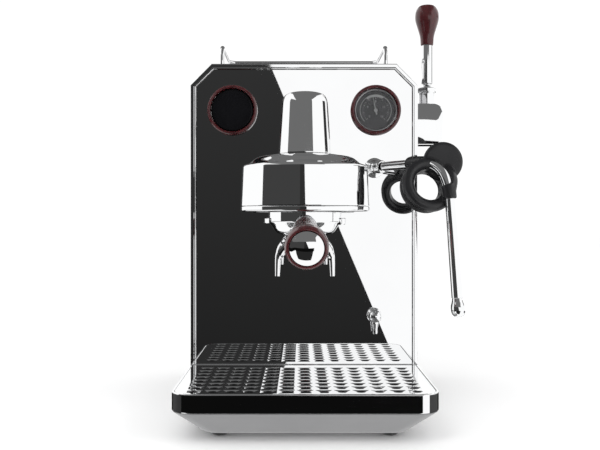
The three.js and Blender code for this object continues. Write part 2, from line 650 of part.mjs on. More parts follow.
function makeWand() {
  const flange = [[0, GAP], [WAND_FLANGE_RADIUS, GAP], [WAND_FLANGE_RADIUS, 3.5],
    [WAND_FLANGE_RADIUS - 3, 6], [WAND_BALL_RADIUS, 8], [0, 8]];
  piece('wand_flange', 'chrome', turnedForward(flange, 16), WAND_X, 0, WAND_Z);
  piece('wand_ball', 'chrome', new THREE.SphereGeometry(WAND_BALL_RADIUS, 16, 10),
    WAND_X, wandBallY, WAND_Z);

  const curve = wandCurve();
  const ballSeat = new THREE.SphereGeometry(WAND_BALL_RADIUS + GAP, 16, 10)
    .translate(WAND_X, wandBallY, WAND_Z);
  piece('wand_tube', 'chrome', cut(tube(curve, WAND_RADIUS, WAND_STEPS, WAND_SIDES), ballSeat));

  const end = curve.getPoint(1);
  const heading = curve.getTangent(1);
  const down = new THREE.Quaternion().setFromUnitVectors(new THREE.Vector3(0, 0, -1), heading);
  const r = WAND_TIP_RADIUS;
  const tip = turned([[0, -WAND_TIP_LENGTH + 1], [r * 0.5, -WAND_TIP_LENGTH + 1.6], [r * 0.9, -16], [r, -12],
    [r * 0.8, -5], [WAND_RADIUS, -GAP], [0, -GAP]], SMALL_SIDES).applyQuaternion(down);
  piece('wand_tip', 'chrome', tip, end.x, end.y, end.z);
  makeGrip(curve);
}

/** The rubber grip: a spool with a finger hole, a flat paddle and a sleeve on the tube. */
function makeGrip(curve) {
  const axis = new THREE.Vector3(0.36, -0.92, 0.12).normalize();
  const lay = new THREE.Quaternion().setFromUnitVectors(new THREE.Vector3(0, 0, 1), axis);
  const half = GRIP_LENGTH / 2;
  const bore = GRIP_BORE;
  const spool = turned([[bore, -half + 3], [bore + 3, -half], [GRIP_REAR_RADIUS - 3, -half],
    [GRIP_REAR_RADIUS, -half + 3], [GRIP_REAR_RADIUS, -half + 6], [GRIP_REAR_RADIUS - GRIP_GROOVE, -half + 10],
    [GRIP_REAR_RADIUS - GRIP_GROOVE, half - 15], [GRIP_RING_RADIUS - 2, half - 12],
    [GRIP_RING_RADIUS, half - 8], [GRIP_RING_RADIUS, half - 4], [GRIP_RING_RADIUS - 4, half],
    [bore + 4, half], [bore, half - 4], [bore, -half + 3]]).applyQuaternion(lay);
  spool.translate(WAND_X + 33.5, wandBallY - 84, WAND_Z - 25.5);

  const paddle = turnedForward([[0, 0], [PADDLE_RADIUS - 1.5, 0], [PADDLE_RADIUS, 1.5],
    [PADDLE_RADIUS, PADDLE_THICKNESS - 1.5], [PADDLE_RADIUS - 1.5, PADDLE_THICKNESS], [0, PADDLE_THICKNESS]])
    .translate(WAND_X + 66, wandBallY - 78, WAND_Z + 1.5);
  const stretch = (from, to) => route([0, 1, 2, 3, 4].map(
    (i) => curve.getPoint(from + ((to - from) * i) / 4).toArray()));
  const sleeve = tube(stretch(0.36, 0.68), WAND_RADIUS + GRIP_WALL, 8, WAND_SIDES);
  const bite = tube(curve, WAND_RADIUS + 2 * GAP, WAND_STEPS, WAND_SIDES);
  piece('wand_grip', 'rubber', cut(join(spool, paddle, sleeve), bite));
}

function makeWater() {
  const r = WATER_BALL_RADIUS;
  const flangeEnd = 5;
  piece('water_flange', 'chrome', turnedForward([[0, GAP], [r + 1, GAP], [r + 1, 3], [r - 2, flangeEnd],
    [0, flangeEnd]], 24), WATER_X, 0, WATER_Z);
  const ballY = -flangeEnd - GAP - r;
  const stem = turned([[0, -WATER_SPOUT_DROP], [2.6, -WATER_SPOUT_DROP], [3.4, -WATER_SPOUT_DROP + 4],
    [4.2, -r + 1], [0, -r + 1]], SMALL_SIDES);
  piece('water_spout', 'chrome', join(new THREE.SphereGeometry(r, 16, 10).rotateX(Math.PI / 2), stem),
    WATER_X, ballY, WATER_Z);
}

// ---- Steam valve and its lever ------------------------------------------------------------
const valveMiddleY = VALVE_FRONT + VALVE_LENGTH / 2;
const leverX = halfCase + LEVER_OUT;
const valveTop = VALVE_BOTTOM + VALVE_HEIGHT;
const hubTop = valveTop + GAP + HUB_HEIGHT;
const leverBallZ = hubTop - 3;
const stemRadius = 3;

function makeSteamValve() {
  const w = VALVE_WALL;
  const reach = VALVE_REACH;
  const face = (inset) => {
    const low = VALVE_BOTTOM + inset;
    const top = valveTop - inset;
    const out = reach - inset;
    const shape = new THREE.Shape();
    shape.moveTo(0, low);
    shape.lineTo(out - 2, low);
    shape.absarc(out - VALVE_CORNER, top - VALVE_CORNER, VALVE_CORNER, 0, Math.PI / 2);
    shape.lineTo(0, top);
    return new THREE.Shape(shape.getPoints(4));
  };
  const hollow = slab(face(w), w, VALVE_LENGTH - w).translate(-0.01, 0, 0);
  const pass = bar(stemRadius + GAP, 4 * w).translate(LEVER_OUT - GAP, VALVE_LENGTH / 2, valveTop - 2 * w);
  piece('steam_valve_housing', 'chrome', cut(slab(face(0), 0, VALVE_LENGTH), hollow, pass),
    halfCase + GAP, VALVE_FRONT, 0);

  const bodyWidth = 24;
  const bodyHeight = 30;
  const bodyBottom = VALVE_BOTTOM + w + GAP;
  const body = cut(
    join(block(LEVER_OUT - bodyWidth / 2 + 1, -bodyWidth / 2, bodyBottom, bodyWidth - 2, bodyWidth, bodyHeight),
      bar(8, LEVER_OUT + 14).rotateY(Math.PI / 2).translate(-16, 0, bodyBottom + 18)),
    bar(stemRadius + GAP, bodyHeight).translate(LEVER_OUT, 0, bodyBottom + 8),
    bar(3, 40).rotateY(Math.PI / 2).translate(-30, 0, bodyBottom + 18));
  piece('steam_valve_body', 'steel', body, halfCase, valveMiddleY, 0);
  const stemBottom = bodyBottom + 16;
  const stemTop = leverBallZ - LEVER_BALL_RADIUS - GAP;
  piece('steam_valve_stem', 'steel', bar(stemRadius, stemTop - stemBottom), leverX, valveMiddleY, stemBottom);

  const seat = LEVER_BALL_RADIUS + GAP;
  const hub = turned([[0, 0], [HUB_RADIUS, 0], [HUB_RADIUS, HUB_HEIGHT - HUB_COLLAR_HEIGHT],
    [HUB_COLLAR_RADIUS, HUB_HEIGHT - HUB_COLLAR_HEIGHT], [HUB_COLLAR_RADIUS, HUB_HEIGHT - 1],
    [HUB_COLLAR_RADIUS - 1, HUB_HEIGHT], [0, HUB_HEIGHT]], 16);
  const socket = join(new THREE.SphereGeometry(seat, 16, 8).rotateX(Math.PI / 2), bar(seat, 8, 16))
    .translate(0, 0, HUB_HEIGHT - 3);
  const guide = bar(stemRadius + GAP, HUB_HEIGHT).translate(0, 0, -1);
  piece('lever_hub', 'chrome', cut(hub, socket, guide), leverX, valveMiddleY, valveTop + GAP);

  const neckTop = 7.5;
  const rodTop = neckTop + LEVER_ROD_LENGTH - 4;
  const shaft = turned([[0, 0], [LEVER_NECK_RADIUS, 0], [LEVER_NECK_RADIUS, neckTop],
    [LEVER_ROD_RADIUS, neckTop], [LEVER_ROD_RADIUS, rodTop], [0, rodTop]], 16);
  const ball = new THREE.SphereGeometry(LEVER_BALL_RADIUS, 16, 8).rotateX(Math.PI / 2);
  piece('lever_rod', 'chrome', join(shaft, ball), leverX, valveMiddleY, leverBallZ);
  const k = KNOB_RADIUS;
  const knob = [[0, 0], [KNOB_BASE_RADIUS - 0.6, 0], [KNOB_BASE_RADIUS, 1], [KNOB_BASE_RADIUS + 0.7, 10],
    [k - 2.6, 22], [k - 0.6, 29], [k, KNOB_LENGTH - k], [k * 0.94, KNOB_LENGTH - k * 0.62],
    [k * 0.76, KNOB_LENGTH - k * 0.32], [k * 0.42, KNOB_LENGTH - k * 0.09], [0, KNOB_LENGTH]];
  piece('lever_knob', 'wood', turned(knob, 16), leverX, valveMiddleY, leverBallZ + rodTop + GAP);
}

// ---- Top: cup warmer, rail, tank ----------------------------------------------------------
function makeTop() {
  const plateZ = CASE_HEIGHT + GAP;
  const clear = RAIL_RADIUS + PLATE_MARGIN;
  const width = 2 * (RAIL_X - clear);
  const depth = RAIL_BACK - clear - PLATE_FRONT;
  const plate = raised(roundedRectangle(width, depth, 6), PLATE_THICKNESS);
  piece('top_plate', 'steel', plate, 0, PLATE_FRONT + depth / 2, plateZ);

  const railBottom = plateZ;
  const z = railBottom + RAIL_HEIGHT - RAIL_RADIUS;
  const bend = RAIL_BEND;
  const front = RAIL_FRONT;
  const back = RAIL_BACK;
  const side = (s) => [[s * RAIL_X, front, railBottom], [s * RAIL_X, front, z - bend],
    [s * RAIL_X, front + bend * 0.3, z - bend * 0.3], [s * RAIL_X, front + bend, z],
    [s * RAIL_X, back - bend, z], [s * (RAIL_X - bend * 0.3), back - bend * 0.3, z],
    [s * (RAIL_X - bend), back, z]];
  const rail = tube(route([...side(-1), ...side(1).reverse()]), RAIL_RADIUS, 44, 8);
  piece('cup_rail', 'chrome', rail);
}

function makeTank() {
  const lidBottom = CASE_HEIGHT + GAP;
  const tankTop = lidBottom - GAP;
  const bottom = tankTop - TANK_HEIGHT;
  const outer = block(-TANK_WIDTH / 2, TANK_FRONT, bottom, TANK_WIDTH, TANK_LENGTH, TANK_HEIGHT);
  const t = TANK_WALL;
  const inner = block(-TANK_WIDTH / 2 + t, TANK_FRONT + t, bottom + t, TANK_WIDTH - 2 * t,
    TANK_LENGTH - 2 * t, TANK_HEIGHT);
  piece('water_tank', 'clear', cut(outer, inner));
  const lap = LID_LAP;
  const lid = raised(roundedRectangle(TANK_WIDTH + 2 * lap, TANK_LENGTH + 2 * lap - 1, 5), LID_THICKNESS);
  const slot = block(-20, -TANK_LENGTH / 2 + 2, -1, 40, 14, LID_THICKNESS + 2);
  piece('tank_lid', 'steel', cut(lid, slot), 0, TANK_FRONT + TANK_LENGTH / 2, lidBottom);
}

// ---- Inside -------------------------------------------------------------------------------
function makeInside() {
  const floor = caseBottom + CASE_WALL + GAP;
  const behindPanel = PANEL_THICKNESS + 2 * GAP;
  const portRadius = 5;

  const brew = cut(join(block(-45, behindPanel + 5, neckBottom - 20, 90, 44, 74),
    block(-16, behindPanel, neckBottom + 2, 32, 8, NECK_HEIGHT - 4)),
  bar(portRadius, 40).rotateX(-Math.PI / 2).translate(0, behindPanel - 5, neckBottom + NECK_HEIGHT / 2));
  piece('brew_thermoblock', 'aluminium', brew);

  const steam = cut(join(block(WAND_X - 22, behindPanel + 5, WAND_Z - 40, 50, 44, 64),
    block(WAND_X - 8, behindPanel, WAND_Z - 8, 16, 8, 16)),
  bar(portRadius, 30).rotateX(-Math.PI / 2).translate(WAND_X, behindPanel - 5, WAND_Z));
  piece('steam_thermoblock', 'aluminium', steam);

  const pump = join(block(-92, 60, floor, 62, 42, 6), block(-88, 62, floor + 5, 40, 38, 44),
    bar(14, 44).rotateY(Math.PI / 2).translate(-50, 81, floor + 28),
    bar(5, 14).rotateY(Math.PI / 2).translate(-8, 81, floor + 28));
  piece('pump', 'plastic', pump);

  const coil = join(block(10, 62, floor, 46, 38, 5), block(16, 66, floor + 4, 34, 30, 40),
    bar(6, 16).translate(33, 81, floor + 43));
  piece('solenoid_valve', 'plastic', coil);

  const board = join(block(-112, 58, floor + 110, 2, 66, 90), block(-110.5, 66, floor + 125, 14, 22, 26),
    block(-110.5, 96, floor + 150, 10, 20, 34));
  piece('control_board', 'board', board);

  const rearInside = CASE_DEPTH - REAR_THICKNESS - GAP;
  const inlet = cut(join(block(-INLET_WIDTH / 2, rearInside - 26, inletBottom, INLET_WIDTH, 29, INLET_HEIGHT),
    block(-INLET_WIDTH / 2 - 5, rearInside - 4, inletBottom - 5, INLET_WIDTH + 10, 4, INLET_HEIGHT + 10)),
  block(-INLET_WIDTH / 2 + 8, rearInside - 14, inletBottom + 4, INLET_WIDTH - 16, 30, INLET_HEIGHT - 8));
  piece('power_inlet', 'plastic', inlet);
}

makeCasing();
makeBase();
makeTray();
makeDials();
makeGroup();
makePortafilter();
makeHandle();
makeWand();
makeWater();
makeSteamValve();
makeTop();
makeTank();
makeInside();

// The origin goes to the middle of the bounding box, at the feet's undersides.
const object = new THREE.Group();
object.add(machine);
object.updateMatrixWorld(true);
const bounds = new THREE.Box3().setFromObject(object, true);
machine.position.set(-(bounds.min.x + bounds.max.x) / 2, -(bounds.min.y + bounds.max.y) / 2, -bounds.min.z);

export default object;
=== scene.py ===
"""An espresso machine dressed for a product picture, laid out as a Blender add-on."""
from math import cos, pi, radians, sin, sqrt

import bmesh
import bpy
from bpy.props import FloatProperty, FloatVectorProperty, IntProperty, PointerProperty
from mathutils import Matrix, Vector


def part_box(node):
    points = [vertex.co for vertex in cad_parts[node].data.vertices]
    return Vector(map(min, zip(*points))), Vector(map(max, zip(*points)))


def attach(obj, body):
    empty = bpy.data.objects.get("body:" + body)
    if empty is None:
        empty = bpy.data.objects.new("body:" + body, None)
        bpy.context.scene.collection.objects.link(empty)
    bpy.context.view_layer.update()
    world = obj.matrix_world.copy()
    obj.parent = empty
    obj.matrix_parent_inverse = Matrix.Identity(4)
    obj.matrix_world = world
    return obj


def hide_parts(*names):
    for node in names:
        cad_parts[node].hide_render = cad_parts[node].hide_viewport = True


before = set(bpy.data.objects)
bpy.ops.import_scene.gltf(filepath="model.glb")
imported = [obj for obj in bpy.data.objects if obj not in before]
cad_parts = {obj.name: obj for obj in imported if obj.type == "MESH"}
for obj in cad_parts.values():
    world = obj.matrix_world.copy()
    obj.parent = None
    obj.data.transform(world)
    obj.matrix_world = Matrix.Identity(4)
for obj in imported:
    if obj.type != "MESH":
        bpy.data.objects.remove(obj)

bl_info = {
    "name": "Espresso Machine Looks",
    "version": (1, 0, 0),
    "blender": (4, 5, 0),
    "location": "3D View > Sidebar > Espresso",
    "description": "Builds the visible pieces and finishes of an espresso machine",
    "category": "Object",
}

MM = 0.001
LARGE_ROUND = 128  # sides of the group head's covers
ROUND = 96  # sides of a turned piece
MIDDLE_ROUND = 64  # sides of a turned piece about 20 mm wide
SMALL_ROUND = 48  # sides of a small turned piece
SMOOTH_ANGLE = radians(32)
HOLD = 0.0002  # from a fillet to the ring that keeps the straight beside it flat
CASE_CHAMFER = 0.024  # along the side and along the top of a cut corner
TRAY_CORNER = 0.022  # radius of the tray's front corners in plan
TRAY_WALL = 0.0025  # from the tray's outside to its inside above the grate's ledge
GRATE_COLUMNS, GRATE_ROWS = 13, 8
HANDLE_ROOT = 0.0378  # from the group's axis to where the handle's heights start
BAND_RADIUS = 0.0181  # outer radius of the gauge's printed band
MARK_RADIUS = 0.0152  # outer ends of the gauge's marks
NUMBER_RADIUS = 0.0100  # middles of the gauge's numbers
SCALE_START, SCALE_SWEEP = 225, 270  # degrees, from low left over the top to low right


# ---- Places, from the frame ---------------------------------------------------------------
def low(node):
    """The node's lowest corner."""
    return Vector(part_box(node)[0])


def high(node):
    """The node's highest corner."""
    return Vector(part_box(node)[1])


def middle(node):
    """The middle of the node's box."""
    return (low(node) + high(node)) / 2


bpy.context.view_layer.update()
CENTRE_X = middle("front_bezel").x
PANEL_Y = low("front_panel").y
BASE_Z = low("base_housing").z
GROUP = Vector((CENTRE_X, middle("group_trim_ring").y, 0))


# ---- What a user would change -------------------------------------------------------------
class MachineSizes(bpy.types.PropertyGroup):
    """Sizes of the visible detail."""
    edge: FloatProperty(
        name="Edge", description="Rounding of sheet metal edges", default=0.0007, unit="LENGTH")
    groove: FloatProperty(
        name="Groove", description="Width of the line round the bezel", default=0.0005, unit="LENGTH")
    hole_sides: IntProperty(
        name="Hole sides", description="Sides of each hole in the grate", default=24, min=8, max=48)
    hole: FloatProperty(
        name="Grate hole", description="Diameter of a hole in the grate", default=0.0085, unit="LENGTH")
    hole_pitch_x: FloatProperty(
        name="Hole pitch across", description="From column to column", default=0.0179, unit="LENGTH")
    hole_pitch_y: FloatProperty(
        name="Hole pitch along", description="From row to row", default=0.01724, unit="LENGTH")
    screw: FloatProperty(
        name="Screw head", description="Diameter of a cover screw", default=0.006, unit="LENGTH")
    tick: FloatProperty(
        name="Gauge tick", description="Length of a mark on the gauge", default=0.0022, unit="LENGTH")


class MachineColours(bpy.types.PropertyGroup):
    """Colours of the finishes."""
    chrome: FloatVectorProperty(
        name="Chrome", description="Polished metal", subtype="COLOR", default=(0.93, 0.935, 0.94))
    steel: FloatVectorProperty(
        name="Steel", description="Brushed metal", subtype="COLOR", default=(0.60, 0.60, 0.61))
    # The base grey is partly the coat's own colour and partly painted reflection: it stands in for the floor
    # that the metal would mirror.
    grey: FloatVectorProperty(
        name="Base grey", description="Coated base", subtype="COLOR", default=(0.30, 0.30, 0.305))
    wood: FloatVectorProperty(
        name="Wood", description="Lacquered hardwood", subtype="COLOR", default=(0.040, 0.0045, 0.0065))
    wood_light: FloatVectorProperty(
        name="Wood grain", description="Lighter grain", subtype="COLOR", default=(0.085, 0.012, 0.014))
    rubber: FloatVectorProperty(
        name="Rubber", description="Grip and feet", subtype="COLOR", default=(0.008, 0.008, 0.009))
    dial: FloatVectorProperty(
        name="Dial", description="Gauge face", subtype="COLOR", default=(0.075, 0.076, 0.08))
    marks: FloatVectorProperty(
        name="Marks", description="Gauge print", subtype="COLOR", default=(0.42, 0.43, 0.43))


def sizes():
    """The scene's MachineSizes."""
    return bpy.context.scene.espresso_sizes


def colours():
    """The scene's MachineColours."""
    return bpy.context.scene.espresso_colours


# ---- Finishes -----------------------------------------------------------------------------
def new_material(name):
    """An empty node material: returns it, its nodes, its links and its shader."""
    material = bpy.data.materials.new(name)
    material.use_nodes = True
    tree = material.node_tree
    return material, tree.nodes, tree.links, tree.nodes["Principled BSDF"]


def add(nodes, kind, **inputs):
    """A node with its input values set by name."""
    node = nodes.new(kind)
    for key, value in inputs.items():
        node.inputs[key.replace("_", " ")].default_value = value
    return node


def object_noise(nodes, links, scale, stretch=(1, 1, 1), detail=3.0):
    """Noise on object coordinates, stretched along the axes."""
    coordinates = nodes.new("ShaderNodeTexCoord")
    mapping = add(nodes, "ShaderNodeMapping", Scale=stretch)
    noise = add(nodes, "ShaderNodeTexNoise", Scale=scale, Detail=detail)
    links.new(coordinates.outputs["Object"], mapping.inputs["Vector"])
    links.new(mapping.outputs["Vector"], noise.inputs["Vector"])
    return noise.outputs["Fac"]


def spread(nodes, links, factor, bottom, top):
    """The factor's 0..1 spread between two values."""
    node = add(nodes, "ShaderNodeMapRange", To_Min=bottom, To_Max=top)
    links.new(factor, node.inputs["Value"])
    return node.outputs["Result"]


def bump(nodes, links, shader, height, strength, distance):
    """A fine relief on the shader's normal."""
    node = add(nodes, "ShaderNodeBump", Strength=strength, Distance=distance)
    links.new(height, node.inputs["Height"])
    links.new(node.outputs["Normal"], shader.inputs["Normal"])


def two_colours(nodes, links, factor, first, second):
    """A ramp between two colours."""
    ramp = nodes.new("ShaderNodeValToRGB")
    ramp.color_ramp.elements[0].color = (*first, 1)
    ramp.color_ramp.elements[0].position = 0.3
    ramp.color_ramp.elements[1].color = (*second, 1)
    ramp.color_ramp.elements[1].position = 0.75
    links.new(factor, ramp.inputs["Fac"])
    return ramp.outputs["Color"]


def shaded(colour, factor):
    """The colour scaled by a factor, darker below one and lighter above."""
    return tuple(channel * factor for channel in colour)


def chrome_finish(name, rough_low, rough_high, tint=1.0):
    """Polished metal with faint polishing haze."""
    material, nodes, links, shader = new_material(name)
    shader.inputs["Metallic"].default_value = 1
    haze = object_noise(nodes, links, 14, detail=4)
    base = shaded(colours().chrome, tint)
    links.new(two_colours(nodes, links, haze, base, shaded(base, 0.975)), shader.inputs["Base Color"])
    links.new(spread(nodes, links, haze, rough_low, rough_high), shader.inputs["Roughness"])
    return material


def brushed_finish(name, colour, stretch, roughness=0.32):
    """Metal brushed along one axis."""
    material, nodes, links, shader = new_material(name)
    shader.inputs["Metallic"].default_value = 1
    grain = object_noise(nodes, links, 700, stretch, detail=6)
    links.new(two_colours(nodes, links, grain, shaded(colour, 0.88), colour), shader.inputs["Base Color"])
    links.new(spread(nodes, links, grain, roughness - 0.06, roughness + 0.08), shader.inputs["Roughness"])
    bump(nodes, links, shader, grain, 0.12, 0.0001)
    return material


def coated_finish(name, colour, roughness, grain=900, relief=0.1, metallic=0.0):
    """Paint or moulded plastic with a fine orange-peel grain."""
    material, nodes, links, shader = new_material(name)
    shader.inputs["Metallic"].default_value = metallic
    peel = object_noise(nodes, links, grain, detail=2)
    cloud = object_noise(nodes, links, 9, detail=3)
    links.new(two_colours(nodes, links, cloud, shaded(colour, 0.94), shaded(colour, 1.04)),
              shader.inputs["Base Color"])
    links.new(spread(nodes, links, peel, roughness - 0.04, roughness + 0.05), shader.inputs["Roughness"])
    bump(nodes, links, shader, peel, relief, 0.00008)
    return material


def wood_finish(name, axis):
    """Dark lacquered hardwood whose grain runs along the axis (0, 1 or 2)."""
    material, nodes, links, shader = new_material(name)
    stretch = [1, 1, 1]
    stretch[axis] = 0.09
    figure = object_noise(nodes, links, 190, stretch, detail=8)
    pores = object_noise(nodes, links, 1300, [s if s == 1 else 0.04 for s in stretch], detail=2)
    mix = nodes.new("ShaderNodeMix")
    mix.data_type = "RGBA"
    mix.blend_type = "MULTIPLY"
    mix.inputs["Factor"].default_value = 0.45
    links.new(two_colours(nodes, links, figure, colours().wood, colours().wood_light), mix.inputs["A"])
    links.new(two_colours(nodes, links, pores, (0.5, 0.45, 0.45), (1, 1, 1)), mix.inputs["B"])
    links.new(mix.outputs["Result"], shader.inputs["Base Color"])
    links.new(spread(nodes, links, pores, 0.30, 0.22), shader.inputs["Roughness"])
    shader.inputs["Coat Weight"].default_value = 0.4
    shader.inputs["Coat Roughness"].default_value = 0.05
    bump(nodes, links, shader, pores, 0.06, 0.0001)
    return material


def rubber_finish():
    """Smooth satin rubber with a fine moulded grain."""
    material, nodes, links, shader = new_material("rubber")
    grain = object_noise(nodes, links, 1600, detail=3)
    wear = object_noise(nodes, links, 30, detail=3)
    rubber = colours().rubber
    links.new(two_colours(nodes, links, wear, rubber, shaded(rubber, 1.6)), shader.inputs["Base Color"])
    links.new(spread(nodes, links, grain, 0.30, 0.42), shader.inputs["Roughness"])
    bump(nodes, links, shader, grain, 0.12, 0.0001)
    return material


def glass_finish():
    """Clear glass over the gauge."""
    material, nodes, links, shader = new_material("gauge_glass")
    shader.inputs["Transmission Weight"].default_value = 1
    shader.inputs["IOR"].default_value = 1.12
    smear = object_noise(nodes, links, 40, detail=2)
    links.new(spread(nodes, links, smear, 0.0, 0.02), shader.inputs["Roughness"])
    return material


def tank_finish():
    """Smoky translucent plastic."""
    material, nodes, links, shader = new_material("tank_plastic")
    shader.inputs["Transmission Weight"].default_value = 0.7
    shader.inputs["IOR"].default_value = 1.3
    frost = object_noise(nodes, links, 60, detail=3)
    links.new(two_colours(nodes, links, frost, (0.30, 0.34, 0.37), (0.36, 0.40, 0.43)),
              shader.inputs["Base Color"])
    links.new(spread(nodes, links, frost, 0.12, 0.2), shader.inputs["Roughness"])
    return material


def display_finish():
    """Black touch glass."""
    material, nodes, links, shader = new_material("display_glass")
    depth = object_noise(nodes, links, 25, detail=2)
    links.new(two_colours(nodes, links, depth, (0.003, 0.003, 0.0035), (0.006, 0.006, 0.007)),
              shader.inputs["Base Color"])
    links.new(spread(nodes, links, depth, 0.03, 0.06), shader.inputs["Roughness"])
    shader.inputs["Specular IOR Level"].default_value = 0.12
    return material


MATERIALS = {}


def make_materials():
    """All finishes, by slot or by piece."""
    look = colours()
    MATERIALS.update({
        "chrome": chrome_finish("chrome", 0.015, 0.045),
        "panel": chrome_finish("panel", 0.004, 0.014, 0.985),
        "steel": brushed_finish("steel", look.steel, (1, 1, 0.03)),
        "steel_across": brushed_finish("steel_across", look.steel, (0.03, 1, 1)),
        "steel_along": brushed_finish("steel_along", look.steel, (1, 0.03, 1)),
        # grey coat whose tone also paints in the floor's reflection
        "base_grey": coated_finish("base_grey", look.grey, 0.38, metallic=0.55),
        "wood": wood_finish("wood", 2),
        "wood_handle": wood_finish("wood_handle", 1),
        "display_glass": display_finish(),
        "dial": coated_finish("dial", look.dial, 0.5, 2400, 0.05),
        "marks": coated_finish("marks", look.marks, 0.5, 2400, 0.05),
        "needle": coated_finish("needle", (0.36, 0.37, 0.37), 0.4, 2400, 0.05),
        "gauge_glass": glass_finish(),
        "rubber": rubber_finish(),
        # near-black painted shade for the hollow under the grate and the walls of its holes
        "basin": coated_finish("basin", (0.012, 0.012, 0.013), 0.5, 1100, 0.2),
        "plastic": coated_finish("plastic", (0.02, 0.02, 0.022), 0.45, 1100, 0.2),
        "tank_plastic": tank_finish(),
        "aluminium": coated_finish("aluminium", (0.55, 0.55, 0.56), 0.45, 500, 0.4, 1.0),
        "board": coated_finish("board", (0.02, 0.12, 0.05), 0.4, 400, 0.15),
    })


# ---- Mesh helpers -------------------------------------------------------------------------
def finished(name, mesh, material, body, replaced=(), smooth=True):
    """A piece in the scene, with its finish, its body and what it stands for."""
    piece = bpy.data.objects.new(name, mesh)
    bpy.context.scene.collection.objects.link(piece)
    if not mesh.materials:
        mesh.materials.append(MATERIALS[material])
    if smooth:
        mesh.shade_smooth()
        mesh.set_sharp_from_angle(angle=SMOOTH_ANGLE)
    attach(piece, body)
    if replaced:
        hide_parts(*replaced)
    return piece


def mesh_of(shape, name, weld=1e-7):
    """The mesh of a bmesh, with doubles merged and faces outward."""
    bmesh.ops.remove_doubles(shape, verts=shape.verts, dist=weld)
    bmesh.ops.dissolve_degenerate(shape, edges=shape.edges, dist=weld)
    bmesh.ops.recalc_face_normals(shape, faces=shape.faces)
    mesh = bpy.data.meshes.new(name)
    shape.to_mesh(mesh)
    shape.free()
    return mesh


def axes_matrix(origin, axis):
    """Turns +Z onto the axis and moves to the origin."""
    turn = Vector((0, 0, 1)).rotation_difference(Vector(axis))
    return Matrix.Translation(origin) @ turn.to_matrix().to_4x4()


def rounded_profile(points, steps=5):
    """[radius, height, fillet] corners with their fillets drawn as arcs and their straights kept flat."""
    outline = []

    def straight_to(point):
        """Adds a point, with one more near each end of a long straight so that it shades flat."""
        if outline and (point - outline[-1]).length > 12 * HOLD:
            along = (point - outline[-1]).normalized() * HOLD
            outline.extend([outline[-1] + along, point - along])
        outline.append(point)

    for i, point in enumerate(points):
        here = Vector(point[:2])
        fillet = point[2] if len(point) > 2 else 0
        if not fillet or i in (0, len(points) - 1):
            straight_to(here)
            continue
        back = Vector(points[i - 1][:2]) - here
        ahead = Vector(points[i + 1][:2]) - here
        reach = min(fillet, back.length * 0.49, ahead.length * 0.49)
        start = here + back.normalized() * reach
        end = here + ahead.normalized() * reach
        straight_to(start)
        for k in range(1, steps + 1):
            t = k / steps
            outline.append(start * (1 - t) ** 2 + here * 2 * t * (1 - t) + end * t ** 2)
    return outline


def turn_into(shape, points, matrix, sides=ROUND, steps=5):
    """Adds a profile turned about the matrix's Z axis to a bmesh; a profile off the axis closes itself."""
    outline = rounded_profile(points, steps)
    closed = outline[0].x > 1e-9 or outline[-1].x > 1e-9
    if closed:
        outline.append(outline[0])
    rings = []
    for point in outline:
        if point.x < 1e-9:
            rings.append([shape.verts.new(matrix @ Vector((0, 0, point.y)))])
            continue
        ring = []
        for k in range(sides):
            angle = 2 * pi * k / sides
            spot = Vector((point.x * cos(angle), point.x * sin(angle), point.y))
            ring.append(shape.verts.new(matrix @ spot))
        rings.append(ring)
    for lower, upper in zip(rings, rings[1:]):
        for k in range(sides):
            corners = [lower[k % len(lower)], lower[(k + 1) % sides % len(lower)],
                       upper[(k + 1) % sides % len(upper)], upper[k % len(upper)]]
            unique = list(dict.fromkeys(corners))
            if len(unique) > 2:
                shape.faces.new(unique)
    return shape


def turned(name, points, origin, axis=(0, 0, 1), sides=ROUND, steps=5):
    """The mesh of a turned piece; points are in metres along the axis from the origin."""
    shape = turn_into(bmesh.new(), points, axes_matrix(origin, axis), sides, steps)
    return mesh_of(shape, name)


def in_mm(points):
    """A profile written in millimetres, in metres."""
    return [tuple(value * MM for value in point) for point in points]


def turned_piece(name, points, origin, material, body, node, axis=(0, 0, 1), sides=ROUND, steps=5):
    """A finished turned piece in a node's place, its profile in millimetres; its slot is its material's."""
    mesh = turned(name, in_mm(points), origin, axis, sides, steps)
    return finished(name, mesh, material, body, [node])


def ball_profile(radius, start, end, step=6):
    """[radius, height] points of a ball's outline between two angles in degrees."""
    return [(radius * cos(radians(a)), radius * sin(radians(a))) for a in range(start, end, step)]


def extrude_into(shape, outline, front, back, holes=()):
    """Adds a plate to a bmesh: outline and holes are (x, z) lists, filling front..back in Y."""
    loops = []
    for ring in (outline, *holes):
        verts = [shape.verts.new((x, front, z)) for x, z in ring]
        loops.append([shape.edges.new((verts[i], verts[(i + 1) % len(verts)])) for i in range(len(verts))])
    edges = [edge for loop in loops for edge in loop]
    filled = bmesh.ops.triangle_fill(shape, use_beauty=True, use_dissolve=False, edges=edges)
    faces = [item for item in filled["geom"] if isinstance(item, bmesh.types.BMFace)]
    grown = bmesh.ops.extrude_face_region(shape, geom=faces, use_keep_orig=True)
    moved = [item for item in grown["geom"] if isinstance(item, bmesh.types.BMVert)]
    bmesh.ops.translate(shape, verts=moved, vec=(0, back - front, 0))
    return shape


def arc(cx, cy, radius, start, end, steps):
    """Points on an arc, angles in degrees."""
    return [(cx + radius * cos(radians(start + (end - start) * k / steps)),
             cy + radius * sin(radians(start + (end - start) * k / steps))) for k in range(steps + 1)]


def rounded_box(x0, x1, y0, y1, radius, steps=10):
    """A rectangle's outline with round corners."""
    return (arc(x1 - radius, y1 - radius, radius, 0, 90, steps)
            + arc(x0 + radius, y1 - radius, radius, 90, 180, steps)
            + arc(x0 + radius, y0 + radius, radius, 180, 270, steps)
            + arc(x1 - radius, y0 + radius, radius, 270, 360, steps))


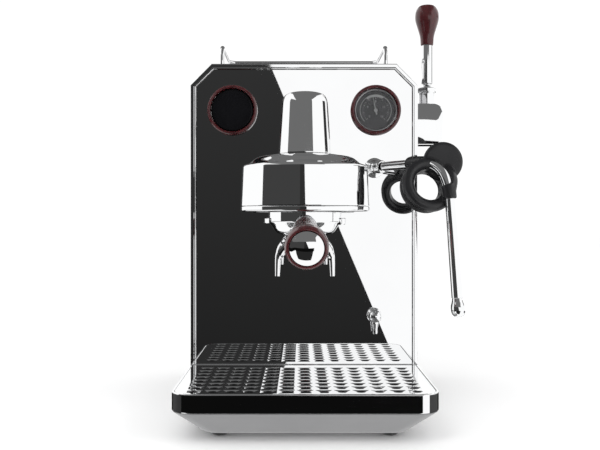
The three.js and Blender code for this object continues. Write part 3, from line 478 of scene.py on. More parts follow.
def bevelled(piece, width, segments=3, angle=30):
    """A live bevel on a piece's sharp edges."""
    modifier = piece.modifiers.new("edge", "BEVEL")
    modifier.width = width
    modifier.segments = segments
    modifier.limit_method = "ANGLE"
    modifier.angle_limit = radians(angle)
    modifier.harden_normals = False
    return piece


def apply_modifiers(piece):
    """Turns the piece's evaluated shape into its plain mesh."""
    graph = bpy.context.evaluated_depsgraph_get()
    mesh = bpy.data.meshes.new_from_object(piece.evaluated_get(graph))
    piece.modifiers.clear()
    piece.data = mesh
    return piece


def sweep(name, points, radii, sides=24, samples=10):
    """A round tube with closed ends through the points, its radius going from point to point."""
    path = smooth_path(points, radii, samples)
    shape = bmesh.new()
    rings = []
    normal = None
    for i, (centre, radius) in enumerate(path):
        before = path[max(i - 1, 0)][0]
        after = path[min(i + 1, len(path) - 1)][0]
        tangent = (after - before).normalized()
        if normal is None:
            normal = tangent.orthogonal().normalized()
        normal = (normal - tangent * normal.dot(tangent)).normalized()
        side = tangent.cross(normal)
        rings.append([shape.verts.new(centre + (normal * cos(2 * pi * k / sides)
                                                + side * sin(2 * pi * k / sides)) * radius)
                      for k in range(sides)])
    for lower, upper in zip(rings, rings[1:]):
        for k in range(sides):
            shape.faces.new((lower[k], lower[(k + 1) % sides], upper[(k + 1) % sides], upper[k]))
    shape.faces.new(rings[0][::-1])
    shape.faces.new(rings[-1])
    return mesh_of(shape, name)


def smooth_path(points, radii, samples):
    """Catmull-Rom places and radii through the points."""
    ends = [points[0] * 2 - points[1], *points, points[-1] * 2 - points[-2]]
    path = []
    for i in range(len(points) - 1):
        a, b, c, d = ends[i:i + 4]
        for k in range(samples):
            t = k / samples
            spot = 0.5 * ((2 * b) + (c - a) * t + (2 * a - 5 * b + 4 * c - d) * t ** 2
                          + (3 * b - a - 3 * c + d) * t ** 3)
            path.append((spot, radii[i] * (1 - t) + radii[i + 1] * t))
    path.append((points[-1], radii[-1]))
    return path


def place(x, y, z):
    """A point in millimetres from the casing's middle, the panel's face and the base's underside."""
    return Vector((CENTRE_X + x * MM, PANEL_Y + y * MM, BASE_Z + z * MM))


def ring_loft(name, loops, cap=True):
    """A mesh through loops of equal length; closes on itself, or is capped at both ends."""
    shape = bmesh.new()
    rings = [[shape.verts.new(point) for point in loop] for loop in loops]
    pairs = list(zip(rings, rings[1:]))
    if cap:
        shape.faces.new(rings[0][::-1])
        shape.faces.new(rings[-1])
    else:
        pairs.append((rings[-1], rings[0]))
    for lower, upper in pairs:
        count = len(lower)
        for k in range(count):
            shape.faces.new((lower[k], lower[(k + 1) % count], upper[(k + 1) % count], upper[k]))
    return mesh_of(shape, name)


# ---- Geometry Nodes -----------------------------------------------------------------------
def node_tree(name, **inputs):
    """A geometry tree with a geometry input and output and the named sizes; returns tree, in, out."""
    tree = bpy.data.node_groups.new(name, "GeometryNodeTree")
    tree.interface.new_socket("Geometry", in_out="INPUT", socket_type="NodeSocketGeometry")
    for key, kind in inputs.items():
        tree.interface.new_socket(key.replace("_", " "), in_out="INPUT", socket_type=kind)
    tree.interface.new_socket("Geometry", in_out="OUTPUT", socket_type="NodeSocketGeometry")
    return tree, tree.nodes.new("NodeGroupInput"), tree.nodes.new("NodeGroupOutput")


def copies_on(tree, points, copied, group_out, material):
    """Ends a tree: copies at the points, realized, with their material."""
    link = tree.links.new
    instances = tree.nodes.new("GeometryNodeInstanceOnPoints")
    real = tree.nodes.new("GeometryNodeRealizeInstances")
    weld = tree.nodes.new("GeometryNodeMergeByDistance")
    weld.inputs["Distance"].default_value = 1e-6
    finish = tree.nodes.new("GeometryNodeSetMaterial")
    finish.inputs["Material"].default_value = MATERIALS[material]
    link(points, instances.inputs["Points"])
    link(copied, instances.inputs["Instance"])
    link(instances.outputs["Instances"], real.inputs["Geometry"])
    link(real.outputs["Geometry"], weld.inputs["Geometry"])
    link(weld.outputs["Geometry"], finish.inputs["Geometry"])
    link(finish.outputs["Geometry"], group_out.inputs["Geometry"])
    return instances


def grid_tree(name, material):
    """Copies of the object's own mesh on a flat grid of columns and rows."""
    tree, group_in, group_out = node_tree(
        name, Width="NodeSocketFloat", Depth="NodeSocketFloat", Columns="NodeSocketInt",
        Rows="NodeSocketInt", Centre="NodeSocketVector")
    grid = tree.nodes.new("GeometryNodeMeshGrid")
    move = tree.nodes.new("GeometryNodeTransform")
    for key, socket in (("Width", "Size X"), ("Depth", "Size Y"), ("Columns", "Vertices X"),
                        ("Rows", "Vertices Y")):
        tree.links.new(group_in.outputs[key], grid.inputs[socket])
    tree.links.new(grid.outputs["Mesh"], move.inputs["Geometry"])
    tree.links.new(group_in.outputs["Centre"], move.inputs["Translation"])
    copies_on(tree, move.outputs["Geometry"], group_in.outputs["Geometry"], group_out, material)
    return tree


def circle_tree(name, material):
    """Copies of the object's own mesh round a circle about Y, each turned to face outwards."""
    tree, group_in, group_out = node_tree(
        name, Radius="NodeSocketFloat", Count="NodeSocketInt", Centre="NodeSocketVector",
        Start="NodeSocketFloat", Sweep="NodeSocketFloat")
    arc_node = tree.nodes.new("GeometryNodeCurveArc")
    points = tree.nodes.new("GeometryNodeCurveToPoints")
    points.mode = "EVALUATED"
    move = tree.nodes.new("GeometryNodeTransform")
    move.inputs["Rotation"].default_value = (pi / 2, 0, 0)
    for key, socket in (("Radius", "Radius"), ("Count", "Resolution"), ("Start", "Start Angle"),
                        ("Sweep", "Sweep Angle")):
        tree.links.new(group_in.outputs[key], arc_node.inputs[socket])
    tree.links.new(arc_node.outputs["Curve"], points.inputs["Curve"])
    tree.links.new(points.outputs["Points"], move.inputs["Geometry"])
    tree.links.new(group_in.outputs["Centre"], move.inputs["Translation"])
    instances = copies_on(tree, move.outputs["Geometry"], group_in.outputs["Geometry"], group_out, material)
    here = tree.nodes.new("GeometryNodeInputPosition")
    away = tree.nodes.new("ShaderNodeVectorMath")
    away.operation = "SUBTRACT"
    align = tree.nodes.new("FunctionNodeAlignRotationToVector")
    align.axis = "Z"
    align.pivot_axis = "Y"
    tree.links.new(here.outputs["Position"], away.inputs[0])
    tree.links.new(group_in.outputs["Centre"], away.inputs[1])
    tree.links.new(away.outputs["Vector"], align.inputs["Vector"])
    tree.links.new(align.outputs["Rotation"], instances.inputs["Rotation"])
    return tree


def grown_by(tree, mesh, **values):
    """The plain mesh that the tree makes of a mesh."""
    helper = bpy.data.objects.new("helper", mesh)
    bpy.context.scene.collection.objects.link(helper)
    modifier = helper.modifiers.new("nodes", "NODES")
    modifier.node_group = tree
    wanted = {key.replace("_", " "): value for key, value in values.items()}
    for item in tree.interface.items_tree:
        if item.item_type == "SOCKET" and item.in_out == "INPUT" and item.name in wanted:
            modifier[item.identifier] = wanted[item.name]
    graph = bpy.context.evaluated_depsgraph_get()
    grown = bpy.data.meshes.new_from_object(helper.evaluated_get(graph))
    bpy.data.objects.remove(helper)
    return grown


# ---- CAD nodes that stay ------------------------------------------------------------------
def softened(node, material, width=0.0006, segments=2):
    """A CAD node that stays, with its finish and a live rounding of its edges."""
    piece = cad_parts[node]
    piece.data.materials.clear()
    piece.data.materials.append(MATERIALS[material])
    for slot in piece.material_slots:
        slot.material = MATERIALS[material]
    if width:
        weld = piece.modifiers.new("weld", "WELD")
        weld.merge_threshold = 1e-6
        bevelled(piece, width, segments)
    return piece


# ---- Casing -------------------------------------------------------------------------------
def case_corners(inset, y):
    """The casing's outline moved in by inset metres, at depth y."""
    lo, hi = low("front_bezel"), high("front_bezel")
    chamfer = CASE_CHAMFER - inset * (2 - sqrt(2))
    x0, x1, z0, z1 = lo.x + inset, hi.x - inset, lo.z + inset, hi.z - inset
    outline = [(x0, z0), (x1, z0), (x1, z1 - chamfer), (x1 - chamfer, z1), (x0 + chamfer, z1),
               (x0, z1 - chamfer)]
    return [Vector((x, y, z)) for x, z in outline]


class EM_OT_casing(bpy.types.Operator):
    """Bezel, panel, casing, rear cover, warmer plate and cup rail."""
    bl_idname = "espresso.casing"
    bl_label = "Casing"

    def execute(self, context):
        front, back = low("front_bezel").y, high("front_bezel").y
        width, lip, rim = 0.0063, 0.0004, 0.0007
        floor = front + 0.0005  # of the groove
        near = 0.0042  # from the edge to the groove
        far = near + 0.0002 + sizes().groove
        profile = [(0, back), (0, front + rim), (rim, front), (near, front), (near + 0.0001, floor),
                   (far - 0.0001, floor), (far, front), (width - lip, front), (width, front + lip),
                   (width, back)]
        mesh = ring_loft("bezel", [case_corners(inset, y) for inset, y in profile], cap=False)
        bezel = finished("bezel", mesh, "chrome", "machine", ["front_bezel"], smooth=False)
        bevelled(bezel, 0.00025, 2, 20)

        softened("front_panel", "panel", 0.0002)
        softened("casing_shell", "steel_along", sizes().edge)
        softened("rear_cover", "steel", 0.0004)
        softened("top_plate", "steel_across", 0.0004)
        self.cover_screws()
        self.rail()
        return {"FINISHED"}

    def cover_screws(self):
        """Low screws with a fine cross on their heads, down both sides of the rear cover."""
        r = sizes().screw / 2
        y = high("rear_cover").y
        head = [(0, -0.0012), (r * 0.9, -0.0012), (r, -0.0004, 0.0002), (r * 0.6, 0, 0.0004), (0, 0)]
        shape = turn_into(bmesh.new(), head, axes_matrix(Vector((0, 0, 0)), (0, 1, 0)), 24, 3)
        for turn in (0, pi / 2):
            slot = bmesh.ops.create_cube(shape, size=1)["verts"]
            matrix = Matrix.Rotation(turn, 4, "Y") @ Matrix.Diagonal((r * 1.2, 0.0002, r * 0.22, 1))
            bmesh.ops.transform(shape, verts=slot, matrix=Matrix.Translation((0, -0.00004, 0)) @ matrix)
        tree = grid_tree("cover screws", "steel")
        lo, hi = low("rear_cover"), high("rear_cover")
        inset = 0.012
        below_chamfer = 0.030  # from the cover's top to the highest screws
        rise = (hi.z - below_chamfer) - (lo.z + inset)
        mesh = mesh_of(shape, "screw")
        turned_down = grown_by(
            tree, self.laid_flat(mesh), Width=hi.x - lo.x - 2 * inset, Depth=rise, Columns=2, Rows=4,
            Centre=(0.0, 0.0, 0.0))
        turned_down.transform(Matrix.Translation((CENTRE_X, y, lo.z + inset + rise / 2))
                              @ Matrix.Rotation(pi / 2, 4, "X"))
        finished("cover_screws", turned_down, "steel", "machine")

    @staticmethod
    def laid_flat(mesh):
        """The screw turned to stand on the grid's plane."""
        mesh.transform(Matrix.Rotation(-pi / 2, 4, "X"))
        return mesh

    def rail(self):
        """The chrome cup rail, with a small collar under each leg."""
        lo, hi = low("cup_rail"), high("cup_rail")
        radius = 0.00255
        inset = 0.0027  # from the box to the rod's middle
        x0, x1 = lo.x + inset, hi.x - inset
        y0, y1 = lo.y + inset, hi.y - inset
        z = hi.z - inset
        bend = 0.012
        turn = [k * pi / 8 for k in range(1, 5)]
        side = []
        for x, inward in ((x0, 1), (x1, -1)):
            points = [Vector((x, y0, lo.z)), Vector((x, y0, z - bend))]
            points += [Vector((x, y0 + bend * (1 - cos(a)), z - bend * (1 - sin(a)))) for a in turn]
            points += [Vector((x, y1 - bend, z))]
            points += [Vector((x + inward * bend * (1 - cos(a)), y1 - bend * (1 - sin(a)), z))
                       for a in turn]
            side.append(points)
        points = side[0] + side[1][::-1]
        finished("rail", sweep("rail", points, [radius] * len(points), 20, 4), "chrome", "machine",
                 ["cup_rail"])
        collars = bmesh.new()
        for x in (x0, x1):
            turn_into(collars, in_mm([(0, 0), (5, 0), (5, 1.4, 0.6), (2.8, 2.2, 0.4), (0, 2.2)]),
                      axes_matrix(Vector((x, y0, lo.z)), (0, 0, 1)), 32, 4)
        finished("rail_collars", mesh_of(collars, "rail_collars"), "chrome", "machine")


# ---- Base and tray ------------------------------------------------------------------------
class EM_OT_base(bpy.types.Operator):
    """The tapered grey base and its feet."""
    bl_idname = "espresso.base"
    bl_label = "Base"

    def execute(self, context):
        lo, hi = low("base_housing"), high("base_housing")
        taper, wall, corner, least = 0.029, 0.003, 0.022, 0.002
        tightening = 0.2  # of the corners' radius, for each unit of taper
        height = hi.z - lo.z

        def loop(inset, z):
            """The plan at a height, smaller towards the floor."""
            drawn_in = taper * (hi.z - z) / height
            share = drawn_in + inset
            radius = max(corner - inset - tightening * drawn_in, least)
            return [Vector((x, y, z)) for x, y in rounded_box(
                lo.x + share, hi.x - share, lo.y + share, hi.y - share, radius, 14)]

        floor = lo.z + wall
        outside = [(0.004, lo.z), (0.0016, lo.z + 0.0006), (0.0005, lo.z + 0.0018), (0, lo.z + 0.004),
                   (0, hi.z - 0.0008), (0.0006, hi.z)]
        inside = [(wall, hi.z), (wall, floor)]
        mesh = ring_loft("base", [loop(inset, z) for inset, z in outside + inside])
        finished("base", mesh, "base_grey", "machine", ["base_housing"])
        for end in ("front", "rear"):
            for side in ("left", "right"):
                self.foot(f"foot_{end}_{side}")
        return {"FINISHED"}

    def foot(self, node):
        """A round rubber foot with a shallow hollow underneath."""
        spot = middle(node)
        spot.z = low(node).z
        mesh = turned(node, in_mm([(0, 0.8), (4.5, 0.8, 0.5), (5.2, 0, 0.4), (7.9, 0, 0.8), (8.9, 2.2, 0.6),
                                   (8.9, 3.7, 0.3), (0, 3.7)]), spot, sides=SMALL_ROUND)
        finished(f"rubber_{node}", mesh, "rubber", "machine", [node])


def tray_plan(inset, z, corner_steps=16):
    """The tray's plan at a height: round corners in front, square ones at the panel."""
    lo, hi = low("drip_pan"), high("drip_pan")
    corner = max(TRAY_CORNER - inset, 0.001)
    x0, x1, y0, y1 = lo.x + inset, hi.x - inset, lo.y + inset, hi.y - inset
    outline = ([(x1, y1), (x0, y1)] + arc(x0 + corner, y0 + corner, corner, 180, 270, corner_steps)
               + arc(x1 - corner, y0 + corner, corner, 270, 360, corner_steps))
    return [Vector((x, y, z)) for x, y in outline]


class EM_OT_tray(bpy.types.Operator):
    """The drip tray and its perforated grate."""
    bl_idname = "espresso.tray"
    bl_label = "Drip tray"

    def execute(self, context):
        lo, hi = low("drip_pan"), high("drip_pan")
        seat = low("drip_grate").z - 0.0003
        edge, inner_edge = 0.0008, 0.0004
        part = edge * 0.3  # the middle of a rounded edge
        ledge = 0.0055  # from the outside to the inner end of the grate's ledge
        bottom = lo.z + 0.0025
        outside = [(edge, lo.z), (part, lo.z + part), (0, lo.z + edge), (0, lo.z + edge + HOLD),
                   (0, hi.z - edge - HOLD), (0, hi.z - edge), (part, hi.z - part), (edge, hi.z)]
        inside = [(TRAY_WALL - inner_edge, hi.z), (TRAY_WALL, hi.z - inner_edge), (TRAY_WALL, seat),
                  (ledge, seat), (ledge, bottom + 0.002), (0.008, bottom)]
        mesh = ring_loft("tray", [tray_plan(inset, z) for inset, z in outside + inside])
        mesh.materials.append(MATERIALS["chrome"])
        # the hollow below the grate's seat gets the near-black painted shade
        self.paint_shade_inside(mesh, seat - edge)
        finished("tray", mesh, "chrome", "drip_tray", ["drip_pan"])
        self.grate()
        return {"FINISHED"}

    @staticmethod
    def paint_shade_inside(mesh, level):
        """Gives the faces inside the plan and below the level a near-black finish: painted shade down in the
        tray's hollow and the grate's holes.
        """
        mesh.materials.append(MATERIALS["basin"])
        outline = tray_plan(TRAY_WALL - 0.0001, level)
        x1, y0 = max(point.x for point in outline), min(point.y for point in outline)
        for face in mesh.polygons:
            spot = face.center
            inside = abs(spot.x - CENTRE_X) < x1 - CENTRE_X and spot.y > y0
            if inside and spot.z < level and face.normal.z > -0.5:
                face.material_index = 1

    def grate(self):
        """The perforated plate: a grid of cells inside a rounded rim."""
        lo, hi = low("drip_grate"), high("drip_grate")
        px, py, r = sizes().hole_pitch_x, sizes().hole_pitch_y, sizes().hole / 2
        columns, rows = GRATE_COLUMNS, GRATE_ROWS
        width, depth = columns * px, rows * py
        top, bottom = hi.z, lo.z
        first_row = 0.0108  # from the plate's front edge
        front = lo.y + first_row - py / 2
        tile = self.tile(px, py, r, top, bottom)
        tree = grid_tree("grate holes", "chrome")
        plate = grown_by(tree, tile, Width=width - px, Depth=depth - py, Columns=columns, Rows=rows,
                         Centre=(CENTRE_X, front + depth / 2, 0.0))
        shape = bmesh.new()
        shape.from_mesh(plate)
        xs = [CENTRE_X - width / 2 + px * i for i in range(columns + 1)]
        ys = [front + py * i for i in range(rows + 1)]
        rim = ([(x, ys[0]) for x in xs] + [(xs[-1], y) for y in ys[1:]]
               + [(x, ys[-1]) for x in reversed(xs[:-1])] + [(xs[0], y) for y in reversed(ys[1:-1])])
        edge = 0.0003
        levels = [(edge, bottom), (0, bottom + edge), (0, top - edge), (edge, top)]
        gap = TRAY_WALL + 0.0003  # from the tray's outside to the plate
        loops = [[shape.verts.new(point) for point in tray_plan(gap + inset, z)] for inset, z in levels]
        for lower, upper in zip(loops, loops[1:]):
            for k in range(len(lower)):
                n = (k + 1) % len(lower)
                shape.faces.new((lower[k], lower[n], upper[n], upper[k]))
        for loop, z in ((loops[0], bottom), (loops[-1], top)):
            inner = [shape.verts.new((x, y, z)) for x, y in rim]
            edges = []
            for ring in (loop, inner):
                for k in range(len(ring)):
                    pair = (ring[k], ring[(k + 1) % len(ring)])
                    edges.append(shape.edges.get(pair) or shape.edges.new(pair))
            bmesh.ops.triangle_fill(shape, use_beauty=True, edges=edges)
        mesh = mesh_of(shape, "grate", 2e-6)
        mesh.materials.clear()
        mesh.materials.append(MATERIALS["chrome"])
        # the walls of the grate's holes and its outer edge get the near-black painted shade
        self.paint_shade_inside(mesh, top - 0.0002)
        finished("grate", mesh, "chrome", "grate", ["drip_grate"])

    def tile(self, px, py, r, top, bottom):
        """One cell of the grate: a flat square with a lipped round hole."""
        shape = bmesh.new()
        sides = sizes().hole_sides
        lip = [(r + 0.0005, top), (r + 0.0002, top - 0.00008), (r, top - 0.0004), (r, bottom)]
        rings = [[shape.verts.new((radius * cos(2 * pi * k / sides), radius * sin(2 * pi * k / sides), z))
                  for k in range(sides)] for radius, z in lip]
        for upper, lower in zip(rings, rings[1:]):
            for k in range(sides):
                n = (k + 1) % sides
                shape.faces.new((upper[k], upper[n], lower[n], lower[k]))
        for ring, z in ((rings[0], top), (rings[-1], bottom)):
            square = [shape.verts.new((sx * px / 2, sy * py / 2, z))
                      for sx, sy in ((1, 1), (-1, 1), (-1, -1), (1, -1))]
            for q in range(4):
                first = round(sides * (2 * q + 1) / 8)
                last = round(sides * (2 * q + 3) / 8)
                corner, after = square[q], square[(q + 1) % 4]
                half = (first + last) // 2
                for k in range(first, half):
                    shape.faces.new((corner, ring[(k + 1) % sides], ring[k % sides]))
                shape.faces.new((corner, after, ring[half % sides]))
                for k in range(half, last):
                    shape.faces.new((after, ring[(k + 1) % sides], ring[k % sides]))
        mesh = bpy.data.meshes.new("tile")
        bmesh.ops.recalc_face_normals(shape, faces=shape.faces)
        shape.to_mesh(mesh)
        shape.free()
        return mesh


# ---- Dials --------------------------------------------------------------------------------
FRONT = (0, -1, 0)


class EM_OT_dials(bpy.types.Operator):
    """The touch display and the pressure gauge with their wooden rings."""
    bl_idname = "espresso.dials"
    bl_label = "Dials"

    def execute(self, context):
        for node in ("control_ring", "gauge_ring"):
            spot = middle(node)
            spot.y = high(node).y
            points = [(24.6, 0), (28.5, 0, 0), (28.5, 4.6, 1.6), (27.0, 6.6, 1.6), (25.4, 6.9, 0.8),
                      (24.6, 5.4, 0.6)]
            turned_piece(f"wood_{node}", points, spot, "wood", "machine", node, FRONT)
        self.display()
        self.gauge()
        return {"FINISHED"}

    def display(self):
        """The display's black glass, rounded at its edge, and the can behind it in one piece."""
        spot = middle("control_display")
        spot.y = low("control_display").y
        glass = [(0, -22), (23.8, -22, 0), (23.8, -0.9, 0.5), (22.6, 0, 0.6), (0, 0)]
        turned_piece("display", glass, spot, "display_glass", "machine", "control_display", FRONT)

    def gauge(self):
        """The gauge's can, face, print, needle and glass."""
        spot = middle("gauge_dial")
        spot.y = low("gauge_dial").y
        body = middle("gauge_body")
        body.y = low("gauge_body").y
        can = [(0, -38), (23.8, -38, 1.2), (23.8, 0, 0.3), (22.9, 0, 0.3), (22.9, -4.9), (0, -4.9)]
        turned_piece("gauge_can", can, body, "steel", "machine", "gauge_body", FRONT)
        face = [(0, -1), (22.4, -1, 0.1), (22.4, 0, 0.1), (0, 0)]
        turned_piece("gauge_face", face, spot, "dial", "machine", "gauge_dial", FRONT)
        self.ticks(spot)
        self.zone(spot)
        self.numbers(spot)
        softened("gauge_needle", "needle", 0.0001)
        glass = middle("gauge_glass")
        glass.y = low("gauge_glass").y
        pane = [(0, -1.2), (22.4, -1.2, 0.1), (22.4, -0.1, 0.3), (12, 0.0, 4), (0, 0.0)]
        turned_piece("gauge_pane", pane, glass, "gauge_glass", "machine", "gauge_glass", FRONT)

    def ticks(self, spot):
        """Marks round the scale, made by a node tree."""
        length = sizes().tick
        kinds = (("scale_marks", 33, 0.0003, length * 0.6), ("scale_steps", 9, 0.0006, length))
        for name, count, width, size in kinds:
            shape = bmesh.new()
            made = bmesh.ops.create_cube(shape, size=1)["verts"]
            bmesh.ops.transform(shape, verts=made, matrix=Matrix.Diagonal((width, 0.00012, size, 1)))
            tree = circle_tree(name, "marks")
            mesh = grown_by(tree, mesh_of(shape, name), Radius=MARK_RADIUS - size / 2, Count=count,
                            Centre=(spot.x, spot.y - 0.00006, spot.z),
                            Start=radians(SCALE_START - SCALE_SWEEP), Sweep=radians(SCALE_SWEEP))
            finished(name, mesh, "marks", "machine", smooth=False)

    def zone(self, spot):
        """The scale's band, thicker over the brewing zone at the top."""
        steps = 120
        thick, thin = 0.0026, 0.0007
        zone_end, zone_start = 60, 128
        outer, inner = [], []
        for k in range(steps + 1):
            degrees = SCALE_START - SCALE_SWEEP * k / steps
            reach = BAND_RADIUS - (thick if zone_end <= degrees <= zone_start else thin)
            angle = radians(degrees)
            outer.append((spot.x + BAND_RADIUS * cos(angle), spot.z + BAND_RADIUS * sin(angle)))
            inner.append((spot.x + reach * cos(angle), spot.z + reach * sin(angle)))
        shape = extrude_into(bmesh.new(), outer + inner[::-1], spot.y - 0.00012, spot.y + 0.00004)
        finished("scale_band", mesh_of(shape, "scale_band"), "marks", "machine", smooth=False)

    def numbers(self, spot):
        """Plain numbers for the pressure in bar."""
        digits = bmesh.new()
        values = (0, 4, 8, 12, 16)
        for k, value in enumerate(values):
            angle = radians(SCALE_START - SCALE_SWEEP * k / (len(values) - 1))
            curve = bpy.data.curves.new("digit", "FONT")
            curve.body = str(value)
            curve.size = 0.0036
            curve.extrude = 0.00005
            curve.align_x = "CENTER"
            curve.align_y = "CENTER"
            text = bpy.data.objects.new("digit", curve)
            bpy.context.scene.collection.objects.link(text)
            graph = bpy.context.evaluated_depsgraph_get()
            graph.update()
            mesh = bpy.data.meshes.new_from_object(text.evaluated_get(graph))
            mesh.transform(Matrix.Translation((spot.x + NUMBER_RADIUS * cos(angle), spot.y - 0.00005,
                                               spot.z + NUMBER_RADIUS * sin(angle)))
                           @ Matrix.Rotation(pi / 2, 4, "X"))
            digits.from_mesh(mesh)
            bpy.data.objects.remove(text)
        mesh = mesh_of(digits, "scale_numbers")
        mesh.materials.clear()
        finished("scale_numbers", mesh, "marks", "machine", smooth=False)


# ---- Group head ---------------------------------------------------------------------------
class EM_OT_group(bpy.types.Operator):
    """Dome, bell, trim ring, neck and the brew head inside."""
    bl_idname = "espresso.group"
    bl_label = "Group head"

    def execute(self, context):
        foot = Vector((GROUP.x, GROUP.y, low("group_bell").z))
        bell = [(65.3, 0), (65.4, 0.6, 0.4), (63.7, 39.6, 1.2), (62.2, 41.0, 1.0), (56.4, 43.4, 5.0),
                (49.6, 49.0, 7.0), (38.0, 51.4, 9.0), (28.5, 52.3, 1.0), (27.3, 52.7),
                (24, 52.7), (24, 49.6), (46.6, 46.6), (52.4, 40.4), (60.4, 37.4), (62.4, 0)]
        turned_piece("bell", bell, foot, "chrome", "machine", "group_bell", sides=LARGE_ROUND, steps=6)
        spot = Vector((GROUP.x, GROUP.y, low("group_dome").z))
        dome = [(26.9, 0), (26.95, 0.5, 0.3), (23.3, 54.0, 7), (20.4, 59.8, 6), (13.5, 62.4, 7), (0, 63),
                (0, 60), (19.5, 58), (23.8, 0)]
        turned_piece("dome", dome, spot, "chrome", "machine", "group_dome", sides=LARGE_ROUND, steps=8)
        ring = Vector((GROUP.x, GROUP.y, low("group_trim_ring").z))
        trim = [(62.8, 0), (64.8, 0, 0.5), (65.5, 0.9, 0.6), (65.5, 4.6, 0.5), (65.0, 5.1, 0.4), (62.8, 5.1)]
        turned_piece("trim_ring", trim, ring, "chrome", "machine", "group_trim_ring", sides=LARGE_ROUND)
        self.neck()
        self.brew_head()
        softened("group_gasket", "rubber", 0.0004)
        softened("shower_screw", "steel", 0.0003)
        self.screen()
        return {"FINISHED"}

    def neck(self):
        """A smooth saddle from the panel to the bell, with a flange on the panel."""
        lo, hi = low("group_neck"), high("group_neck")

        def loop(grow, y):
            return [Vector((x, y, z)) for x, z in rounded_box(
                lo.x - grow, hi.x + grow, lo.z - grow, hi.z + grow, 0.008, 10)]

        mesh = ring_loft("neck", [loop(-0.001, lo.y), loop(-0.001, hi.y - 0.010), loop(-0.0004, hi.y - 0.006),
                                  loop(0, hi.y - 0.004), loop(0, hi.y - 0.0006), loop(-0.0005, hi.y)])
        finished("neck", mesh, "chrome", "machine", ["group_neck"])

    def brew_head(self):
        """The cast head inside the bell, with the ring that the portafilter locks in."""
        lo, hi = low("brew_head").z, high("brew_head").z
        tall = (hi - lo) / MM
        gasket = (high("group_gasket").z - lo) / MM + 0.3
        ledge = (low("group_gasket").z - lo) / MM - 8.6
        points = [(42.1, 0.2), (56.3, 0, 0.8), (56.3, tall, 1.2), (0, tall), (0, gasket), (42.2, gasket),
                  (42.2, ledge)]
        spot = Vector((GROUP.x, GROUP.y, lo))
        shape = turn_into(bmesh.new(), in_mm(points), axes_matrix(spot, (0, 0, 1)), ROUND, 4)
        lip = [(37.6, 0.05), (42.2, 0.05), (42.2, 2.95), (37.6, 2.95)]
        turn_into(shape, in_mm(lip), axes_matrix(spot, (0, 0, 1)), ROUND)
        finished("brew_casting", mesh_of(shape, "brew_casting"), "steel", "machine", ["brew_head"])

    def screen(self):
        """The shower screen: a disc with a hole for its screw."""
        lo, hi = low("shower_screen"), high("shower_screen")
        spot = Vector((GROUP.x, GROUP.y, lo.z))
        tall = (hi.z - lo.z) / MM
        disc = [(3.1, 0), (28, 0, 0.6), (28, tall, 0.6), (3.1, tall)]
        turned_piece("screen", disc, spot, "steel", "machine", "shower_screen")


# ---- Portafilter --------------------------------------------------------------------------
HANDLE_TURN = radians(7)


